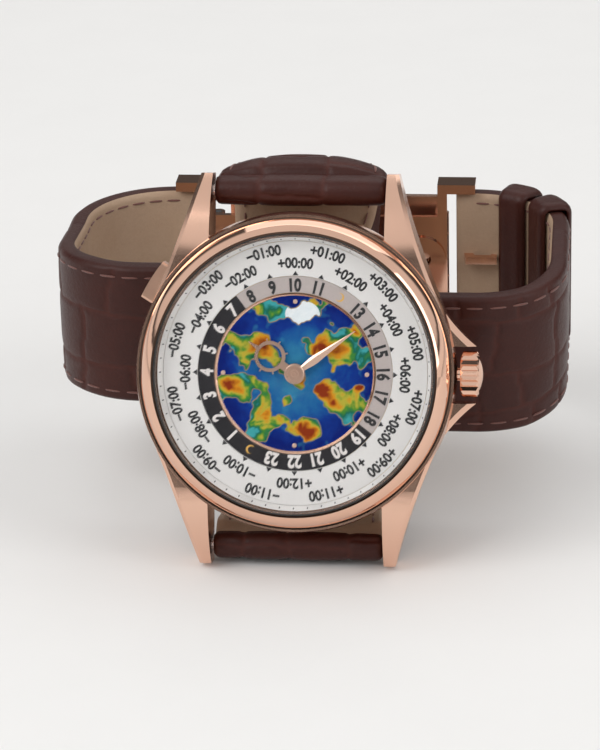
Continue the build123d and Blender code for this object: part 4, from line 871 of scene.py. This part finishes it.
# Enamel map, a made-up world seen from above: the disc's outer and inner radius in mm, and its lands and
# ice as hills, each with its middle, its reach along and across, its tilt in degrees and its height
MAP_R, HUB_R, GRID_COUNT = 9.72, 0.9, 240
LANDS = [
    (-6.0, 4.9, 2.9, 2.2, 40, 1.0), (-3.4, 2.2, 1.2, 0.8, -30, 0.8), (5.9, 4.2, 3.0, 2.0, -35, 1.0),
    (2.9, 2.9, 1.1, 0.8, 20, 0.75), (8.3, 0.9, 1.0, 1.2, 0, 0.8), (-5.0, -2.6, 1.6, 2.2, 15, 1.0),
    (-3.9, -6.0, 0.9, 1.6, 15, 0.9), (5.4, -3.2, 2.3, 1.7, -20, 1.0), (3.1, -1.5, 0.9, 0.6, 10, 0.8),
    (0.6, -6.9, 2.0, 1.0, 8, 0.95), (-8.8, -1.4, 0.7, 1.5, 0, 0.85), (0.9, 7.3, 1.15, 0.85, 10, 1.0),
    (-2.6, 7.4, 0.6, 0.35, 30, 0.75), (7.2, -6.2, 0.8, 0.5, -40, 0.8), (1.2, 4.4, 0.5, 0.35, 0, 0.7),
    (-1.2, -3.4, 0.5, 0.7, 20, 0.7), (8.0, -1.7, 0.5, 0.3, 10, 0.7)]
ICE = [(0.9, 7.4, 1.7, 1.3, 0, 1.0)]
WAVES, SHORE = 150, 0.58


def bumps(x, y, places):
    """A sum of soft round hills."""
    total = np.zeros_like(x)
    for cx, cy, wide, high, tilt, strength in places:
        turn = math.radians(tilt)
        u = (x - cx) * math.cos(turn) + (y - cy) * math.sin(turn)
        v = (y - cy) * math.cos(turn) - (x - cx) * math.sin(turn)
        total += strength * np.exp(-0.5 * ((u / wide) ** 2 + (v / high) ** 2))
    return total


def land_height(x, y):
    """Height of the made-up land over its shore: hills roughened by seeded waves of every size."""
    rng = np.random.RandomState(14)
    rough = np.zeros_like(x)
    for step in range(WAVES):
        size = 0.9 * 14.0 ** (step / (WAVES - 1.0))
        heading = rng.uniform(0, 2 * math.pi)
        wave = x * math.cos(heading) * size + y * math.sin(heading) * size
        rough += np.sin(wave + rng.uniform(0, 2 * math.pi)) * size ** -1.2
    return bumps(x, y, LANDS) - SHORE + 0.12 * rough


def shorelines(height, xs):
    """Lines where the height crosses zero on a square grid, each with whether it closes on itself."""
    step = xs[1] - xs[0]
    links = {}

    def ends(edge):
        """Heights at both ends of the grid edge that starts at (i, j): side 0 runs along x, 1 along y."""
        i, j, side = edge
        return height[i, j], height[i, j + 1] if side == 0 else height[i + 1, j]

    def crossed(edge):
        """Whether the shore crosses a grid edge."""
        a, b = ends(edge)
        return (a > 0) != (b > 0)

    def spot(edge):
        """Where the shore crosses a grid edge."""
        i, j, side = edge
        a, b = ends(edge)
        share = a / (a - b)
        return (xs[j] + step * share, xs[i]) if side == 0 else (xs[j], xs[i] + step * share)

    for i in range(len(xs) - 1):
        for j in range(len(xs) - 1):
            cut = [e for e in ((i, j, 0), (i, j + 1, 1), (i + 1, j, 0), (i, j, 1)) if crossed(e)]
            for first, second in zip(cut[::2], cut[1::2]):
                links.setdefault(first, []).append(second)
                links.setdefault(second, []).append(first)

    lines = []
    left = set(links)
    for start in sorted(links, key=lambda edge: len(links[edge])):
        chain = []
        onward = [start] if start in left else []
        while onward:
            chain.append(onward[0])
            left.discard(onward[0])
            onward = [e for e in links[chain[-1]] if e in left]
        if chain:
            closed = len(chain) > 2 and chain[0] in links[chain[-1]]
            lines.append((np.array([spot(e) for e in chain]), closed))
    return lines


def enamel_disc(height, gx, gy):
    """The enamel disc, with the heights of land and ice stored at its points."""
    radius = np.hypot(gx, gy)
    inside = (radius < MAP_R) & (radius > HUB_R)
    index = np.full(gx.shape, -1)
    index[inside] = np.arange(inside.sum())
    faces = []
    for i in range(GRID_COUNT - 1):
        for j in range(GRID_COUNT - 1):
            kept = [int(c) for c in (*index[i, j:j + 2], *index[i + 1, j:j + 2][::-1]) if c >= 0]
            if len(kept) >= 3:
                faces.append(tuple(kept))
    points = head_point(gx[inside], gy[inside], DIAL_TOP + 0.015)
    piece("map_enamel", "case", (), points, faces, [sea_mat], None, True,
          {"land": height[inside], "ice": bumps(gx, gy, ICE)[inside]})


def smoothed(line, closed):
    """A line with its corners rounded."""
    for _ in range(3):
        middle = (np.roll(line, 1, 0) + 2 * line + np.roll(line, -1, 0)) / 4
        line = middle if closed else np.concatenate([line[:1], middle[1:-1], line[-1:]])
    return line


def shore_wires(height, xs):
    """A raised gold wire along each shore of ten points or more."""
    section = [(-0.062, 0.0), (-0.045, 0.035), (0.0, 0.05), (0.045, 0.035), (0.062, 0.0)]
    points, faces = [], []
    for line, closed in shorelines(height, xs):
        if len(line) < 10:
            continue
        line = smoothed(line, closed)
        ahead = np.roll(line, -1, 0) - np.roll(line, 1, 0)
        if not closed:
            ahead[0], ahead[-1] = line[1] - line[0], line[-1] - line[-2]
        length = np.maximum(np.linalg.norm(ahead, axis=1), 1e-9)
        out = np.stack([ahead[:, 1], -ahead[:, 0]], -1) / length[:, None]
        faces += shifted(grid_faces(len(section), len(line), False, closed), sum(len(p) for p in points))
        for across, rise in section:
            edge = line + out * across
            points.append(head_point(edge[:, 0], edge[:, 1], DIAL_TOP + 0.01 + rise))
    piece("map_wires", "case", (), np.concatenate(points), faces, [wire_gold])


def enamel_map():
    """The made-up map: the enamel disc, and gold wires that end at its rim."""
    xs = np.linspace(-MAP_R, MAP_R, GRID_COUNT)
    gx, gy = np.meshgrid(xs, xs)
    height = land_height(gx, gy)
    enamel_disc(height, gx, gy)
    shore_wires(np.where(np.hypot(gx, gy) < MAP_R - 0.02, height, np.minimum(height, -0.001)), xs)


enamel_map()


# Hands, in mm and degrees: the minute hand's bearing, and the levels it and the cap lie between
MINUTE_BEARING = 54
HAND_LOW, HAND_TOP = 2.98, 3.18
CAP_LOW, CAP_TOP = 3.20, 3.37
LEAF = [(0.30, 0.9), (0.36, 1.35), (0.52, 2.6), (0.54, 3.2), (0.38, 5.0), (0.23, 6.8), (0.12, 8.3),
        (0.05, 9.24)]


def minute_leaf():
    """The minute hand's blade as if at 12 o'clock, a ridge along its face, from its half widths."""
    points = []
    for x, y in LEAF:
        lift = 0.20 * x * min(1, (y - LEAF[0][1]) / 1.5)
        points += [(x, y, HAND_LOW), (x, y, HAND_TOP - 0.12), (-0.45 * x, y, HAND_TOP - 0.10 + lift),
                   (-x, y, HAND_TOP - 0.14), (-x, y, HAND_LOW)]
    last = len(points) - 5
    return points, grid_faces(len(LEAF), 5) + [(4, 3, 2, 1, 0), tuple(range(last, last + 5))]


def minute_hand():
    """The minute hand: its ridged blade and its hub, turned to its bearing."""
    points, faces = minute_leaf()
    rim = [(0.48, HAND_LOW), (1.16, HAND_LOW), (1.22, HAND_LOW + 0.05), (1.22, HAND_TOP - 0.04),
           (1.16, HAND_TOP), (0.84, HAND_TOP), (0.80, HAND_TOP - 0.03), (0.48, HAND_TOP - 0.03)]
    hub_points, hub_faces = lathe(rim, 48)
    faces += shifted(hub_faces, len(points))
    x, y, level = np.array(points + hub_points).T
    cosine, sine = math.cos(math.radians(MINUTE_BEARING)), math.sin(math.radians(MINUTE_BEARING))
    spots = head_point(x * cosine + y * sine, y * cosine - x * sine, level)
    piece("minute_hand_leaf", "minute_group", ("minute_hand",), spots, faces, [hand_gold], None,
          False)


def hand_cap():
    """Low cap on the hands' axis, with a groove round its middle."""
    profile = [(0.001, CAP_LOW), (0.52, CAP_LOW), (0.55, CAP_LOW + 0.03), (0.55, CAP_TOP - 0.05),
               (0.50, CAP_TOP), (0.34, CAP_TOP), (0.31, CAP_TOP - 0.05), (0.22, CAP_TOP - 0.05),
               (0.19, CAP_TOP), (0.001, CAP_TOP + 0.01)]
    points, faces = lathe(profile, 40)
    x, y, level = np.array(points).T
    piece("hand_cap_grooved", "minute_group", ("hand_cap",), head_point(x, y, level), faces,
          [hand_gold], None, False)


minute_hand()
hand_cap()


# Floor, light and camera
FLOOR_HALF, FLOOR_DROP = 3, 0.00002


def floor_material():
    """Pale, nearly matt floor."""
    mat, tree, shader = material("pale_floor")
    grain = noise(tree, 60, 4)
    colour = blend_colour(tree, grain, (0.80, 0.795, 0.785), (0.83, 0.825, 0.815))
    join(tree, shader, [("Base Color", colour), ("Roughness", 0.7), ("Specular IOR Level", 0.12)])
    return mat


def studio_floor():
    """A wide floor just under the watch, for the picture only."""
    mesh = bpy.data.meshes.new("floor")
    corners = [(-1, -1), (1, -1), (1, 1), (-1, 1)]
    mesh.from_pydata([(x * FLOOR_HALF, y * FLOOR_HALF, 0) for x, y in corners], [], [(0, 1, 2, 3)])
    mesh.materials.append(floor_material())
    floor = new_object("floor", mesh)
    floor.location.z = -FLOOR_DROP


def studio_world():
    """A pale room: dark in a low band and, over it, straight in front and behind, so that the crystal
    and the gold have something dark to mirror."""
    world = bpy.data.worlds.new("studio")
    bpy.context.scene.world = world
    world.use_nodes = True
    sky = world.node_tree
    view = put(sky, "ShaderNodeSeparateXYZ", [(0, sky.nodes.new("ShaderNodeTexCoord").outputs["Generated"])])
    up, ahead = view.outputs[2], calc(sky, "MULTIPLY_ADD", view.outputs[1], 0.5, 0.5)
    room = ramp(sky, up, [(0.0, (1.15, 1.14, 1.12)), (0.12, (1.15, 1.14, 1.12)), (0.15, (0.14, 0.14, 0.14)),
                          (0.19, (0.14, 0.14, 0.14)), (0.25, (0.95, 0.94, 0.93)), (0.60, (1.05, 1.04, 1.03)),
                          (1.0, (1.0, 0.99, 0.98))])
    shade = ramp(sky, ahead, [(0.03, (0.14, 0.14, 0.14)), (0.06, (1.0, 1.0, 1.0)), (0.66, (1.0, 1.0, 1.0)),
                              (0.74, (0.12, 0.12, 0.12))])
    raised = calc(sky, "MULTIPLY_ADD", up, 20.0, -2.4, True)
    colour = blend_colour(sky, raised, room, blend_colour(sky, 1.0, room, shade, "MULTIPLY"))
    join(sky, sky.nodes["Background"], [("Color", colour), ("Strength", 0.75)])


studio_floor()
studio_world()


def lamp(name, location, size, energy):
    """A soft lamp of a size and at a place in metres, turned to the watch."""
    data = bpy.data.lights.new(name, "AREA")
    data.shape, data.size, data.size_y = "RECTANGLE", size[0], size[1]
    data.energy = energy
    obj = new_object(name, data)
    obj.location = location
    obj.rotation_euler = (Vector((0, 0, 0.025)) - Vector(location)).to_track_quat("-Z", "Y").to_euler()


lamp("key_left", (-0.34, -0.30, 0.42), (0.34, 0.44), 1.5)
lamp("fill_right", (0.40, -0.22, 0.26), (0.22, 0.40), 0.6)
lamp("top_back", (0.05, 0.34, 0.46), (0.64, 0.40), 1.0)


# The photograph: its size and the dial's middle in it in pixels, pixels for a millimetre at the dial and
# the sensor along its longer side in mm; the camera's directions are in degrees, its distance in mm
PHOTO, DIAL_PIXEL, PIXELS_PER_MM, SENSOR = (600, 750), (294.9, 373.6), 8.07, 36
AZIMUTH, ELEVATION, ROLL_ANGLE, DISTANCE = 6.0, 23.0, -1.5, 420


def camera():
    """The photograph's viewpoint: right of the middle and above, aimed at the middle of the dial."""
    azimuth, elevation, roll = (math.radians(a) for a in (AZIMUTH, ELEVATION, ROLL_ANGLE))
    away = np.array([math.sin(azimuth) * math.cos(elevation), -math.cos(azimuth) * math.cos(elevation),
                     math.sin(elevation)])
    right = np.cross(-away, [0, 0, 1.0])
    right /= np.linalg.norm(right)
    upward = np.cross(right, -away)
    stance = np.eye(4)
    stance[:3, 0] = right * math.cos(roll) + upward * math.sin(roll)
    stance[:3, 1] = upward * math.cos(roll) - right * math.sin(roll)
    stance[:3, 2] = away
    stance[:3, 3] = head_point(0.0, 0.0, DIAL_TOP) * MM + away * DISTANCE * MM
    data = bpy.data.cameras.new("camera")
    data.lens = PIXELS_PER_MM * DISTANCE / PHOTO[1] * SENSOR
    data.sensor_width = SENSOR
    data.shift_x = (PHOTO[0] / 2 - DIAL_PIXEL[0]) / PHOTO[1]
    data.shift_y = (DIAL_PIXEL[1] - PHOTO[1] / 2) / PHOTO[1]
    data.clip_start = 0.01
    obj = new_object("camera", data)
    obj.matrix_world = Matrix(stance.tolist())
    bpy.context.scene.camera = obj


camera()
bpy.context.scene.view_settings.view_transform = "Standard"
